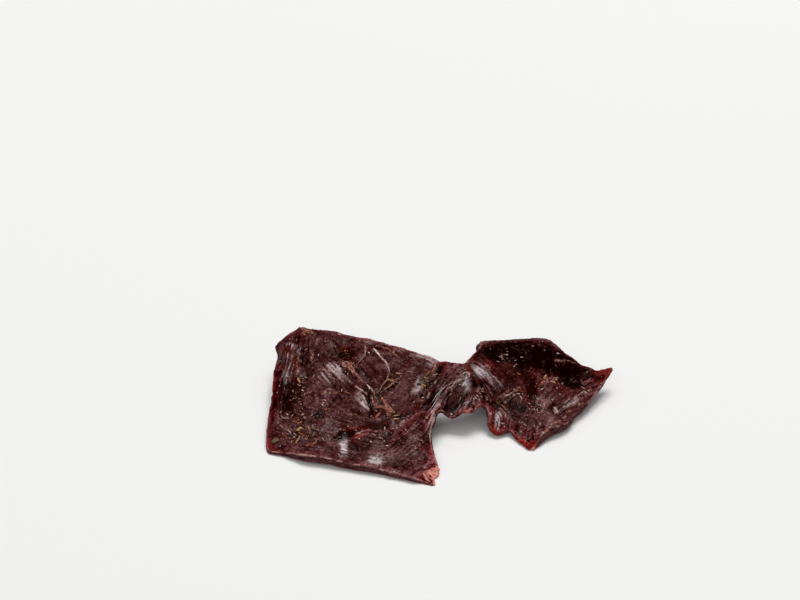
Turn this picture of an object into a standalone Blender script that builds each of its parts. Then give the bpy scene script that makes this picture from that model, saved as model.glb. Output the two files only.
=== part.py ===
# One slice of dry-cured elk meat, lying on a table as it dried.
#
# The slice is a single thin sheet with a squarish left lobe, a pleated neck and a smaller right
# lobe, which curls over behind and stands on its back edge. It is drawn in plan, in millimetres:
# X to the right, Y away from the viewer, Z up from the table. Heights are those of the middle of
# the sheet. A thin plate bent through those heights gives the broad curl, folds and swellings
# are laid on it, and the sheet is then thickened to both sides, creased above, and closed along
# its cut or torn edge. The largest flakes of herb are fused to its upper face.

import math
import random

import bmesh
import bpy
import numpy as np
from mathutils import Matrix, Vector, noise
from mathutils.bvhtree import BVHTree
from mathutils.geometry import delaunay_2d_cdt

MM = 0.001
BOX_CENTRE = (0.37, 1.69)      # the middle of the slice's box in the drawing becomes the origin

SHEET_THICKNESS = 2.5     # of the dried meat away from its edges
THICKNESS_RANGE = (0.9, 4.0)
EDGE_TAPER = 5.0          # distance over which the thickness goes from the edge's to the sheet's
EDGE_ROUNDING = 1.0       # radius over which the outline's corners are softened
EDGE_BULGE = 0.22         # how far the side of the sheet bellies out, as a share of its thickness
FOOT_SINK = 0.25          # how much of the underside is pressed flat where it meets the table
FOOT_SOFTNESS = 0.5       # how gently the sheet lifts off round a foot
PLATE_STIFFNESS = 0.5     # lets the plate pass a little beside its posts, for an easier curve
RIM_STIFFNESS = 20.0      # the same, for the thickness along the edge

# Unevenness as waves: size of the hills, how far they reach.
TORN_EDGE_WAVES = [(3.2, 0.9), (1.5, 0.7)]
CUT_EDGE_WAVES = [(8.0, 0.35)]
SURFACE_WAVES = [(11.0, 0.4), (5.0, 0.2)]

FINE_STEP = 0.3           # spacing of the points at which the outline is worked out
EDGE_STEP = 1.4           # spacing of the mesh's points along it
SHEET_STEP = 1.6          # spacing of the points inside it
LOOSENESS = 0.2           # how far a point inside it strays from its grid
EDGE_CLEARANCE = 1.1      # least distance from a point inside to the outline
POINT_CLEARANCE = 1.0     # least distance between two points inside

FLAKE_LENGTHS = (1.8, 3.0)    # shortest and longest of the herb flakes that stand out
FLAKE_WIDTHS = (1.15, 0.85)   # widths of these two
FLAKE_SPIN = 2.3          # makes each flake point its own way
FLAKE_THICKNESS = 0.9     # of which half shows above the meat
FLAKE_FOOTING = 1.6       # radius of the circle that says how the meat under a flake lies
GOLDEN_ANGLE = math.pi * (3 - math.sqrt(5))
ABOVE_ALL = 60.0          # a height that nothing of the slice reaches
SHARP_ANGLE = 50          # degrees, above which an edge is shaded as a crease
SEED = 7

# Each stretch of the outline: name, thickness, raggedness, and points (x, y, height of the
# middle of the sheet). The stretches run anticlockwise from the front left corner.
OUTLINE = [
    ("front left corner", 1.5, 0.1,
     [(-56.8, -19.0, 0.5), (-51.6, -20.4, 0.9)]),
    ("front edge", 2.9, 0.0,
     [(-45.9, -23.3, 1.6), (-31.3, -27.3, 1.6), (-24.8, -29.0, 1.6)]),
    ("front edge, right", 2.0, 0.0,
     [(-18.4, -31.0, 1.2), (-9.8, -34.0, 0.8)]),
    ("front tip", 1.0, 0.6,
     [(-1.9, -36.4, 0.1), (-3.0, -33.3, 0.2), (-0.4, -30.2, 0.6)]),
    ("bay, left side", 1.8, 0.0,
     [(-2.0, -27.6, 1.9), (-3.1, -23.1, 2.6), (-3.7, -13.6, 5.8), (-0.8, -8.6, 9.3)]),
    ("neck", 1.8, 0.8,
     [(0.9, -6.0, 7.2), (5.8, -6.7, 7.2), (9.4, -6.8, 7.6), (11.7, -4.0, 8.2), (13.7, -3.2, 7.8)]),
    ("bay, right side", 2.0, 0.7,
     [(15.7, -4.5, 6.0), (15.6, -8.0, 2.6), (19.1, -10.3, 1.4), (21.8, -8.3, 1.6),
      (25.0, -11.7, 1.2)]),
    ("right lobe tip", 1.3, 0.8,
     [(27.4, -16.2, 0.7), (29.4, -18.2, 0.4), (30.6, -17.0, 0.5)]),
    ("right lobe, front", 3.8, 0.0,
     [(32.5, -13.8, 1.6), (35.9, -10.1, 2.1), (40.9, -7.2, 2.1), (44.4, -0.7, 2.3), (50.0, 7.3, 3.0),
      (54.4, 13.9, 5.0)]),
    ("right corner", 1.4, 0.0,
     [(58.8, 19.5, 7.5), (56.0, 18.6, 7.3)]),
    ("right lobe, back", 2.2, 0.2,
     [(52.4, 16.7, 7.6), (46.6, 18.8, 9.2), (42.1, 21.1, 11.2), (37.5, 25.6, 13.5)]),
    ("curled foot", 2.1, 0.6,
     [(38.6, 29.8, 10.0), (39.8, 34.0, 3.5), (36.4, 37.4, 0.8), (30.6, 36.6, 0.8), (27.0, 39.0, 0.4),
      (20.0, 38.6, 0.4), (16.6, 34.6, 3.0), (12.6, 31.0, 6.8), (13.6, 25.6, 12.8), (13.6, 20.0, 16.0),
      (11.2, 13.6, 16.3)]),
    ("nape", 2.0, 0.1,
     [(8.0, 8.4, 15.9), (1.0, 8.6, 17.3), (0.0, 7.0, 17.5)]),
    ("back edge", 2.4, 0.0,
     [(-3.3, 9.3, 17.8), (-18.6, 17.6, 18.0), (-39.9, 25.7, 18.0), (-44.7, 26.7, 18.3)]),
    ("back left corner", 1.8, 0.4,
     [(-47.7, 27.2, 18.8), (-48.8, 27.5, 17.0), (-52.6, 27.4, 14.0), (-56.0, 28.6, 10.5),
      (-54.4, 25.8, 8.5)]),
    ("left edge", 1.8, 0.0,
     [(-55.7, 16.4, 7.0), (-55.9, 7.6, 5.0), (-57.4, -10.7, 1.5)]),
]

# Heights of the middle of the sheet inside the outline: (x, y, height).
INNER_HEIGHTS = [
    (-53.0, -16.5, 0.8),    # foot behind the front left corner
    (-5.5, -32.2, 0.4),     # foot behind the front tip
    (28.5, -14.5, 0.9),     # foot behind the right lobe's tip
    (25.5, 34.5, 1.0),      # foot of the curled back
    (17.0, 22.0, 15.9),     # crest of the curl
    (26.0, 22.0, 16.2),
    (34.0, 21.0, 16.0),
]

# Folds of the whole sheet: name, height (negative for a valley), half width, points (x, y).
FOLDS = [
    ("neck ridge", 1.7, 2.1,
     [(-3.5, -12.1), (-2.3, -9.1), (-0.1, -4.4), (2.9, -0.9), (6.5, 1.6), (10.0, 3.9)]),
    ("neck pocket", -2.6, 2.5,
     [(3.6, -6.0), (4.6, -3.4), (6.0, -1.6)]),
    ("neck valley", -1.3, 2.0,
     [(6.0, -1.6), (9.5, 1.6)]),
    ("neck lobe", 1.3, 2.3,
     [(8.0, -1.9), (10.4, -0.2)]),
    ("strip behind the seam", -1.0, 2.4,
     [(1.2, 3.4), (-1.4, -1.2), (-5.8, -8.7), (-11.0, -14.0), (-16.8, -21.9)]),
    ("groove round the right bulge", -1.0, 2.2,
     [(10.6, 6.2), (12.2, 2.4), (15.0, -1.0), (19.6, -1.5), (24.6, 2.2)]),
    ("right lobe, valley", -1.5, 2.6,
     [(26.5, 10.0), (28.9, 4.5), (31.4, -1.2)]),
    ("right lobe, hollow under the crest", -1.0, 3.6,
     [(17.5, 15.0), (26.0, 13.4), (38.0, 15.5)]),
    ("right lobe, ridge", 0.9, 3.2,
     [(35.5, -5.1), (42.0, 0.7), (49.0, 10.6)]),
    ("ragged side, fold", 0.8, 1.8,
     [(17.4, -5.8), (20.6, -4.4), (24.0, -7.2)]),
    ("left edge, turned down", -0.9, 3.0,
     [(-56.0, 18.0), (-55.5, 8.0), (-57.0, -6.0)]),
    ("corner wrinkle", 0.8, 2.0,
     [(-52.0, 24.5), (-50.0, 17.8), (-47.6, 10.4), (-46.8, 4.0)]),
    ("dip beside the corner", -0.7, 2.4,
     [(-46.5, 22.0), (-44.6, 15.0), (-43.5, 8.0)]),
]

# Fine creases and seams of the upper face: name, height, half width, points (x, y).
CREASES = [
    ("front lip", 0.25, 1.2,
     [(-55.0, -17.9), (-45.9, -22.0), (-31.3, -26.0), (-18.4, -29.6), (-7.0, -33.0)]),
    ("crease by the corner", -0.45, 0.9,
     [(-53.4, 21.0), (-51.6, 13.0), (-49.4, 5.0)]),
    ("light crease", 0.4, 0.8,
     [(-41.5, 21.5), (-42.7, 17.0), (-44.0, 12.5)]),
    ("first seam", 0.35, 0.8,
     [(-25.0, 18.4), (-25.3, 14.1), (-28.5, 9.7), (-31.5, 9.1)]),
    ("second seam", 0.4, 0.8,
     [(-22.3, 14.1), (-19.9, 11.1), (-17.6, 6.9), (-16.6, 4.4)]),
    ("third seam", 0.5, 0.9,
     [(-30.5, 8.7), (-26.1, 3.0), (-22.0, -1.6)]),
    ("fourth seam", -0.6, 0.9,
     [(-14.2, 2.9), (-16.9, -0.2), (-20.1, -2.3), (-19.8, -5.0), (-17.5, -8.8)]),
    ("deep crack", -1.1, 0.9,
     [(-24.6, -1.6), (-23.7, -4.7), (-22.6, -8.5)]),
    ("crack's lip", 0.5, 1.6,
     [(-27.4, -1.2), (-26.2, -4.8), (-25.4, -7.7)]),
    ("spiced seam", -0.8, 1.0,
     [(0.3, 6.0), (-1.4, 2.8), (-3.7, -0.2), (-5.7, -5.0), (-9.3, -7.8), (-14.6, -10.1)]),
    ("tear", -0.9, 0.9,
     [(-34.0, -17.2), (-29.8, -15.6), (-22.7, -13.1), (-18.0, -13.1)]),
    ("flesh below the tear", 0.5, 1.5,
     [(-31.0, -19.0), (-26.4, -16.8), (-21.5, -15.3)]),
    ("seam round the right bulge", -0.5, 0.9,
     [(10.6, 6.2), (12.2, 2.4), (15.0, -1.0), (19.6, -1.3), (25.5, 3.3)]),
    ("seam across the right lobe", 0.4, 0.9,
     [(30.6, 4.2), (33.0, 5.6), (36.5, 7.8)]),
    ("right lobe, front lip", 0.3, 1.3,
     [(32.4, -12.6), (35.6, -8.2), (40.2, -4.8), (44.2, 1.6), (49.0, 9.2)]),
]

# Swellings of the whole sheet: name, height, x, y, radius along and across, direction in degrees.
SWELLINGS = [
    ("right bulge", 1.7, 15.8, 6.2, 6.5, 4.4, -30),
    ("by the deep crack", 0.7, -28.0, -3.9, 4.5, 3.5, 80),
    ("panel under the corner", 0.6, -36.0, 8.4, 7.0, 4.5, -35),
    ("panel along the back", 0.6, -21.0, 10.8, 5.0, 4.0, -20),
    ("panel by the seam", 0.9, -8.0, 4.0, 6.0, 5.0, -30),
    ("front panel, left", 0.5, -42.0, -12.4, 7.0, 5.0, -15),
    ("front panel, middle", 0.6, -33.0, -22.0, 4.0, 2.5, -20),
    ("front panel, right", 0.8, -20.0, -23.4, 6.0, 4.0, 30),
    ("right lobe, middle", 0.7, 38.0, 5.0, 5.0, 4.0, 20),
]

# Where the largest flakes of herb stick: name, x, y, radius of the patch, number of flakes.
FLAKE_PATCHES = [
    ("front left", -44.6, -12.3, 5.0, 7),
    ("beside the deep crack", -19.5, -6.9, 3.0, 4),
    ("on the first seam", -30.8, 8.7, 1.6, 2),
    ("on the spiced seam", -4.9, 1.4, 2.6, 3),
    ("left side", -46.0, 5.0, 2.5, 2),
    ("on the fourth seam", -15.4, 2.2, 1.5, 2),
    ("right lobe", 34.6, 6.4, 3.0, 3),
    ("right lobe, ridge", 48.0, 9.6, 2.0, 2),
    ("neck", 19.0, -1.9, 2.2, 2),
]


def points_of_outline():
    """Columns x, y, height, thickness, raggedness of the outline's own points."""
    rows = []
    for _, thickness, tear, points in OUTLINE:
        rows += [(x, y, height, thickness, tear) for x, y, height in points]
    return np.array(rows)


def resampled(ring, step):
    """The closed ring with its points step apart, or as near to that as divides it evenly."""
    closed = np.vstack([ring, ring[:1]])
    lengths = np.hypot(*np.diff(closed[:, :2], axis=0).T)
    along = np.concatenate([[0], np.cumsum(lengths)])
    count = max(8, round(along[-1] / step))
    wanted = np.linspace(0, along[-1], count, endpoint=False)
    return np.stack([np.interp(wanted, along, column) for column in closed.T], axis=1)


def softened(ring, step, radius):
    """The ring smoothed round itself by a bell curve of this radius."""
    reach = math.ceil(3 * radius / step)
    shifts = np.arange(-reach, reach + 1)
    weights = np.exp(-((shifts * step / radius) ** 2))
    weights /= weights.sum()
    return sum(w * np.roll(ring, s, axis=0) for w, s in zip(weights, shifts))


def outward(ring):
    """Unit vectors in plan that point out of an anticlockwise ring."""
    along = np.roll(ring[:, :2], -1, axis=0) - np.roll(ring[:, :2], 1, axis=0)
    along /= np.linalg.norm(along, axis=1, keepdims=True)
    return np.stack([along[:, 1], -along[:, 0]], axis=1)


def waves(where, sizes):
    """Smooth noise at places in plan, summed over waves of several sizes."""
    return sum(reach * np.array([noise.noise(Vector((x / size, y / size, size))) for x, y in where])
               for size, reach in sizes)


def edge_ring():
    """The outline as the mesh uses it: softened, torn, and evenly spaced."""
    ring = resampled(points_of_outline(), FINE_STEP)
    ring[:, 3:] = softened(ring[:, 3:], FINE_STEP, 3 * EDGE_ROUNDING)
    ring[:, :3] = softened(ring[:, :3], FINE_STEP, EDGE_ROUNDING)
    shift = ring[:, 4] * waves(ring[:, :2], TORN_EDGE_WAVES) + waves(ring[:, :2], CUT_EDGE_WAVES)
    ring[:, :2] += outward(ring) * shift[:, None]
    return resampled(ring, EDGE_STEP)


def bending(distance_squared):
    """The thin plate's kernel, r * r * log(r)."""
    return 0.5 * distance_squared * np.log(distance_squared + 1e-9)


class ThinPlate:
    """A thin plate bent through given values at given places in plan."""

    def __init__(self, places, values, stiffness):
        self.places = places
        count = len(places)
        flat = np.column_stack([np.ones(count), places])
        system = np.zeros((count + 3, count + 3))
        system[:count, :count] = bending(self.squares(places)) + stiffness * np.eye(count)
        system[:count, count:] = flat
        system[count:, :count] = flat.T
        self.weights = np.linalg.solve(system, np.concatenate([values, np.zeros(3)]))

    def squares(self, where):
        return ((where[:, None, :] - self.places[None, :, :]) ** 2).sum(axis=2)

    def __call__(self, where):
        flat = np.column_stack([np.ones(len(where)), where])
        return bending(self.squares(where)) @ self.weights[:-3] + flat @ self.weights[-3:]


def distance_to_line(where, line):
    """How far each place in plan is from a line of several points."""
    best = np.full(len(where), np.inf)
    for start, end in zip(line[:-1], line[1:]):
        a, b = np.array(start), np.array(end)
        share = np.clip((where - a) @ (b - a) / ((b - a) @ (b - a)), 0, 1)
        best = np.minimum(best, np.linalg.norm(where - a - share[:, None] * (b - a), axis=1))
    return best


def along_lines(where, lines):
    """What ridges and valleys along these lines add to the height at places in plan."""
    added = np.zeros(len(where))
    for _, height, half_width, line in lines:
        added += height * np.exp(-((distance_to_line(where, line) / half_width) ** 2))
    return added


def relief(where):
    """What the folds, the swellings and the general unevenness add to the sheet's height."""
    added = along_lines(where, FOLDS)
    for _, height, x, y, long, short, degrees in SWELLINGS:
        turn = math.radians(degrees)
        dx, dy = where[:, 0] - x, where[:, 1] - y
        along = dx * math.cos(turn) + dy * math.sin(turn)
        across = dy * math.cos(turn) - dx * math.sin(turn)
        added += height * np.exp(-((along / long) ** 2) - (across / short) ** 2)
    return added + waves(where, SURFACE_WAVES)


def inside(where, ring):
    """Whether each place in plan lies inside the ring."""
    x, y = where[:, 0], where[:, 1]
    found = np.zeros(len(where), bool)
    for (ax, ay), (bx, by) in zip(ring, np.roll(ring, -1, axis=0)):
        if ay != by:
            crosses = (ay > y) != (by > y)
            found ^= crosses & (x < ax + (y - ay) * (bx - ax) / (by - ay))
    return found


def stepped(line, step):
    """Points about step apart along a line of several points, both ends included."""
    corners = np.array(line)
    along = np.concatenate([[0], np.cumsum(np.hypot(*np.diff(corners, axis=0).T))])
    wanted = np.linspace(0, along[-1], max(2, round(along[-1] / step) + 1))
    return np.stack([np.interp(wanted, along, column) for column in corners.T], axis=1)


def filling(ring):
    """Points inside the ring, clear of its edge: along each crease, then a loose triangular grid."""
    random.seed(SEED)
    low, high = ring.min(axis=0), ring.max(axis=0)
    row_step = SHEET_STEP * math.sqrt(0.75)
    grid = []
    for row in range(math.ceil((high[1] - low[1]) / row_step)):
        for column in range(math.ceil((high[0] - low[0]) / SHEET_STEP)):
            x = low[0] + (column + 0.5 * (row % 2)) * SHEET_STEP
            y = low[1] + row * row_step
            astray = (random.uniform(-LOOSENESS, LOOSENESS), random.uniform(-LOOSENESS, LOOSENESS))
            grid.append((x + astray[0], y + astray[1]))
    wished = np.vstack([stepped(line, SHEET_STEP) for _, _, _, line in CREASES] + [np.array(grid)])
    wished = wished[inside(wished, ring)]
    wished = wished[distance_to_line(wished, np.vstack([ring, ring[:1]])) > EDGE_CLEARANCE]
    kept = wished[:1]
    for point in wished[1:]:
        if np.hypot(*(kept - point).T).min() > POINT_CLEARANCE:
            kept = np.vstack([kept, point])
    return kept


def plan_mesh(ring):
    """(points in plan, triangles), where the first points are the ring's, in its order."""
    points = np.vstack([ring, filling(ring)])
    count = len(ring)
    edges = [(i, (i + 1) % count) for i in range(count)]
    result = delaunay_2d_cdt([Vector(p) for p in points], edges, [], 1, 1e-6)
    triangles, origins = result[2], result[3]
    return points, [tuple(origins[i][0] for i in triangle) for triangle in triangles]


def middle_surface(points):
    """(height, thickness) of the sheet at places in plan."""
    outline = points_of_outline()
    inner = np.array(INNER_HEIGHTS)
    places = np.vstack([outline[:, :2], inner[:, :2]])
    heights = np.concatenate([outline[:, 2], inner[:, 2]])
    height = ThinPlate(places, heights - relief(places), PLATE_STIFFNESS)(points) + relief(points)
    from_edge = distance_to_line(points, np.vstack([outline, outline[:1]])[:, :2])
    edge_thickness = ThinPlate(outline[:, :2], outline[:, 3], RIM_STIFFNESS)(points)
    share = 1 - np.exp(-((from_edge / EDGE_TAPER) ** 2))
    thickness = edge_thickness + (SHEET_THICKNESS - edge_thickness) * share
    return height, np.clip(thickness, *THICKNESS_RANGE)


def set_down(height, thickness):
    """Lifts the sheet softly off the table wherever it would sink in."""
    least = 0.5 * thickness - FOOT_SINK
    higher = 0.5 * (height + least + np.sqrt((height - least) ** 2 + FOOT_SOFTNESS**2))
    return higher - 0.25 * FOOT_SOFTNESS


def normals_of(points, triangles):
    """Unit normals of the middle surface at its points."""
    corners = points[np.array(triangles)]
    faces = np.cross(corners[:, 1] - corners[:, 0], corners[:, 2] - corners[:, 0])
    normals = np.zeros_like(points)
    for corner in range(3):
        np.add.at(normals, np.array(triangles)[:, corner], faces)
    return normals / np.linalg.norm(normals, axis=1, keepdims=True)


def placed(x, y, z):
    """A place in the drawing as a vector in metres from the part's origin."""
    return Vector((x - BOX_CENTRE[0], y - BOX_CENTRE[1], z)) * MM


def slice_mesh():
    """The sheet of meat as one closed bmesh."""
    ring = edge_ring()
    plan, triangles = plan_mesh(ring[:, :2])
    count = len(ring)
    height, thickness = middle_surface(plan)
    middle = np.column_stack([plan, set_down(height, thickness)])
    normals = normals_of(middle, triangles)
    out = np.column_stack([outward(ring), np.zeros(count)])
    out -= normals[:count] * (out * normals[:count]).sum(axis=1, keepdims=True)
    half = 0.5 * thickness[:, None]
    creased = along_lines(plan, CREASES)[:, None]

    bm = bmesh.new()

    def added(points):
        return [bm.verts.new(placed(x, y, max(z, 0.0))) for x, y, z in points]

    top = added(middle + normals * np.maximum(half + creased, 0.1 * half))
    under = added(middle - normals * half)
    side = added(middle[:count] + out * 2 * half[:count] * EDGE_BULGE)
    for a, b, c in triangles:
        bm.faces.new((top[a], top[b], top[c]))
        bm.faces.new((under[c], under[b], under[a]))
    for i in range(count):
        j = (i + 1) % count
        for upper, lower in ((top, side), (side, under)):
            bm.faces.new((upper[j], upper[i], lower[i], lower[j]))
    bmesh.ops.triangulate(bm, faces=[f for f in bm.faces if len(f.verts) > 3])
    bmesh.ops.recalc_face_normals(bm, faces=bm.faces)
    return bm


def surface_under(tree, x, y):
    """(place, normal) of the plane through the upper face on a small circle round a place in plan."""
    hits = []
    for turn in range(8):
        angle = math.tau * turn / 8
        start = placed(x + FLAKE_FOOTING * math.cos(angle), y + FLAKE_FOOTING * math.sin(angle), ABOVE_ALL)
        hits.append(tree.ray_cast(start, Vector((0, 0, -1)))[0])
    centre = sum(hits, Vector()) / len(hits)
    across = [a - b for a, b in zip(hits[:4], hits[4:])]
    return centre, across[0].cross(across[2]).normalized()


def flake_places():
    """(x, y, length, width, direction) of each flake, wound outwards round the middle of its patch."""
    for patch, (_, x, y, spread, count) in enumerate(FLAKE_PATCHES):
        for number in range(count):
            turn = GOLDEN_ANGLE * (number + 3 * patch + 1)
            out = spread * math.sqrt((number + 0.4) / count)
            share = (turn / math.tau) % 1
            length = FLAKE_LENGTHS[0] + (FLAKE_LENGTHS[1] - FLAKE_LENGTHS[0]) * share
            width = FLAKE_WIDTHS[0] + (FLAKE_WIDTHS[1] - FLAKE_WIDTHS[0]) * share
            where = (x + out * math.cos(turn), y + out * math.sin(turn))
            yield *where, length, width, FLAKE_SPIN * turn


def flake_matrix(tree, x, y, length, width, direction):
    """Where a ball one unit across goes to become a flake half sunk in the meat."""
    centre, up = surface_under(tree, x, y)
    along = Vector((math.cos(direction), math.sin(direction), 0))
    along = (along - up * along.dot(up)).normalized()
    across = up.cross(along)
    columns = (across * width * MM, up * FLAKE_THICKNESS * MM, along * length * MM, centre)
    return Matrix([[*(column[row] for column in columns)] for row in range(3)] + [[0, 0, 0, 1]])


def fuse_flakes(meat):
    """Joins the largest flakes of herb to the slice as one solid."""
    bm = bmesh.new()
    bm.from_mesh(meat.data)
    tree = BVHTree.FromBMesh(bm)
    bm.free()
    flakes = bpy.data.collections.new("flakes")
    bpy.context.scene.collection.children.link(flakes)
    for place in flake_places():
        ball = bmesh.new()
        bmesh.ops.create_uvsphere(ball, u_segments=5, v_segments=4, radius=0.5)
        bmesh.ops.transform(ball, matrix=flake_matrix(tree, *place), verts=ball.verts)
        mesh = bpy.data.meshes.new("flake")
        ball.to_mesh(mesh)
        ball.free()
        flakes.objects.link(bpy.data.objects.new("flake", mesh))
    join = meat.modifiers.new("flakes", "BOOLEAN")
    join.operation = "UNION"
    join.operand_type = "COLLECTION"
    join.collection = flakes
    evaluated = meat.evaluated_get(bpy.context.evaluated_depsgraph_get())
    meat.data = bpy.data.meshes.new_from_object(evaluated)
    meat.modifiers.clear()
    for flake in list(flakes.objects):
        bpy.data.objects.remove(flake)
    bpy.data.collections.remove(flakes)


def principled(name, colour, roughness):
    """A plain material in the part's colour."""
    material = bpy.data.materials.new(name)
    material.use_nodes = True
    shader = material.node_tree.nodes["Principled BSDF"]
    shader.inputs["Base Color"].default_value = (*colour, 1.0)
    shader.inputs["Roughness"].default_value = roughness
    shader.inputs["Metallic"].default_value = 0.0
    material.diffuse_color = (*colour, 1.0)
    return material


def object_of(name, bm, material):
    mesh = bpy.data.meshes.new(name)
    bm.to_mesh(mesh)
    bm.free()
    mesh.materials.append(material)
    mesh.shade_smooth()
    mesh.set_sharp_from_angle(angle=math.radians(SHARP_ANGLE))
    made = bpy.data.objects.new(name, mesh)
    bpy.context.scene.collection.objects.link(made)
    return made


def main():
    for old in list(bpy.data.objects):
        bpy.data.objects.remove(old)
    meat = principled("dried_meat", (0.075, 0.022, 0.02), 0.42)
    fuse_flakes(object_of("meat_slice", slice_mesh(), meat))


main()
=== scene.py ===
import math

import bmesh
import bpy
import numpy as np
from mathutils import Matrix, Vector
from mathutils.bvhtree import BVHTree
from mathutils.kdtree import KDTree


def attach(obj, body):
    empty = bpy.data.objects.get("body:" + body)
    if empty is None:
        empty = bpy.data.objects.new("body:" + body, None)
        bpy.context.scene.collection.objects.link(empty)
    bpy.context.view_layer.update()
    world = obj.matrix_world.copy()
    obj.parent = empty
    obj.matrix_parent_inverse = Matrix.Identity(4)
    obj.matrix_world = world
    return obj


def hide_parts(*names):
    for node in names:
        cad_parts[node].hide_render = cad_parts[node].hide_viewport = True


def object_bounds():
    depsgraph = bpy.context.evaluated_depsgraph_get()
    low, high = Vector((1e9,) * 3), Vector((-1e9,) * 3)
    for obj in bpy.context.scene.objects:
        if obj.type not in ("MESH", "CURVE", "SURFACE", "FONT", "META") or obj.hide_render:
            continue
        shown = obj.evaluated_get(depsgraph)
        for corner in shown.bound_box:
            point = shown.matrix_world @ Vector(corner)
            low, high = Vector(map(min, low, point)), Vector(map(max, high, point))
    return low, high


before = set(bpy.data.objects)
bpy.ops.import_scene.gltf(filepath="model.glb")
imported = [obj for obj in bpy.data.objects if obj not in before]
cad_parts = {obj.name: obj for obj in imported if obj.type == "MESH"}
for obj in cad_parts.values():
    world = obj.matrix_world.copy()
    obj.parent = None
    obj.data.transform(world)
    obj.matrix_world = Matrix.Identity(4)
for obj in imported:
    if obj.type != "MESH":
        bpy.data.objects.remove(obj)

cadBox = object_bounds()
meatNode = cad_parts["meat_slice"]
mm = 0.001
drawingMiddle = np.array([0.37, 1.69])    # the slice's drawing in plan has its box's middle here, in mm


def linear(hexColour):
    channels = [int(hexColour[i:i + 2], 16) / 255 for i in (1, 3, 5)]
    return (*[c / 12.92 if c <= 0.04045 else ((c + 0.055) / 1.055) ** 2.4 for c in channels], 1.0)


def addNode(tree, kind, settings=None, inputs=None):
    # an input is another node's output or a constant, which goes on the node's own socket
    node = tree.nodes.new(kind)
    for name, value in (settings or {}).items():
        setattr(node, name, value)
    for socket, value in (inputs or {}).items():
        if isinstance(value, bpy.types.NodeSocket):
            tree.links.new(value, node.inputs[socket])
        else:
            node.inputs[socket].default_value = value
    return node


def product(tree, factors):
    # multiplies its factors, where (value, low, high) steps smoothly from 0 to 1 between low and high,
    # and (value, low, high, start, end) from start to end
    total = None
    for factor in factors:
        if isinstance(factor, tuple):
            value, low, high, start, end = (*factor, 0.0, 1.0)[:5]
            factor = addNode(tree, "ShaderNodeMapRange", {"interpolation_type": "SMOOTHSTEP"}, {
                "Value": value, "From Min": low, "From Max": high, "To Min": start, "To Max": end}).outputs[0]
        if total is not None:
            factor = addNode(tree, "ShaderNodeMath", {"operation": "MULTIPLY"}, {
                0: total, 1: factor}).outputs[0]
        total = factor
    return total


def newMaterial(name):
    material = bpy.data.materials.new(name)
    material.use_nodes = True
    tree = material.node_tree
    tree.nodes.clear()
    return material, tree


def newObject(name, data):
    made = bpy.data.objects.new(name, data)
    bpy.context.scene.collection.objects.link(made)
    return made


def evaluatedMesh(made):
    return bpy.data.meshes.new_from_object(made.evaluated_get(bpy.context.evaluated_depsgraph_get()))


# Camera, floor and light

view = {
    "elevation": 33.0,                    # degrees above the table, as in the photograph
    "lookAt": (-0.01396, 0.07124, 0.0),   # where the middle of the picture meets the table
    "distance": 0.8,
    "lens": 100.0,
    "sensor": 36.0,
}

studio = {
    "floorHex": "#f4f4f3",
    "floorSize": 6.0,
    "skyLow": 0.02,                       # darker at eye level than overhead, which gives gloss its contrast
    "skyHigh": 0.60,
    "skyBand": (0.3, 0.95),               # upward share of a direction where the sky is darkest and brightest
    "lights": {
        "backLight": {"place": (0.34, 1.05, 2.75), "size": (1.6, 1.2), "watts": 54.0, "hex": "#ffffff"},
        "frontLight": {"place": (-0.50, -1.90, 1.70), "size": (1.4, 1.0), "watts": 9.0, "hex": "#ffffff"},
    },
}


def setCamera():
    tilt = math.radians(view["elevation"])
    camera = newObject("camera", bpy.data.cameras.new("camera"))
    camera.location = Vector(view["lookAt"]) - Vector((0, math.cos(tilt), -math.sin(tilt))) * view["distance"]
    camera.rotation_euler = (math.pi / 2 - tilt, 0, 0)
    camera.data.lens = view["lens"]
    camera.data.sensor_width = view["sensor"]
    bpy.context.scene.camera = camera


def setStudio():
    for name, light in studio["lights"].items():
        lamp = newObject(name, bpy.data.lights.new(name, "AREA"))
        lamp.data.shape = "RECTANGLE"
        lamp.data.size, lamp.data.size_y = light["size"]
        lamp.data.energy = light["watts"]
        lamp.data.color = linear(light["hex"])[:3]
        lamp.location = light["place"]
        lamp.rotation_euler = (-Vector(light["place"])).to_track_quat("-Z", "Y").to_euler()
    world = bpy.data.worlds.new("sky")
    world.use_nodes = True
    tree = world.node_tree
    direction = addNode(tree, "ShaderNodeTexCoord").outputs["Generated"]
    height = addNode(tree, "ShaderNodeSeparateXYZ", None, {"Vector": direction}).outputs["Z"]
    brightness = product(tree, [(height, *studio["skyBand"], studio["skyLow"], studio["skyHigh"])])
    background = tree.nodes["Background"]
    background.inputs["Color"].default_value = (1, 1, 1, 1)
    tree.links.new(brightness, background.inputs["Strength"])
    bpy.context.scene.world = world
    bpy.context.scene.view_settings.view_transform = "Standard"

    half = studio["floorSize"] / 2
    mesh = bpy.data.meshes.new("floor")
    corners = [(-half, -half, 0), (half, -half, 0), (half, half, 0), (-half, half, 0)]
    mesh.from_pydata(corners, [], [(0, 1, 2, 3)])
    material, tree = newMaterial("paperBackdrop")    # matt photographer's paper: no gloss at all
    shader = addNode(tree, "ShaderNodeBsdfDiffuse", None, {"Color": linear(studio["floorHex"])})
    addNode(tree, "ShaderNodeOutputMaterial", None, {"Surface": shader.outputs[0]})
    mesh.materials.append(material)
    newObject("floor", mesh)


setCamera()
setStudio()
print("camera, floor and light")


# Shape helpers, all in millimetres

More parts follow.
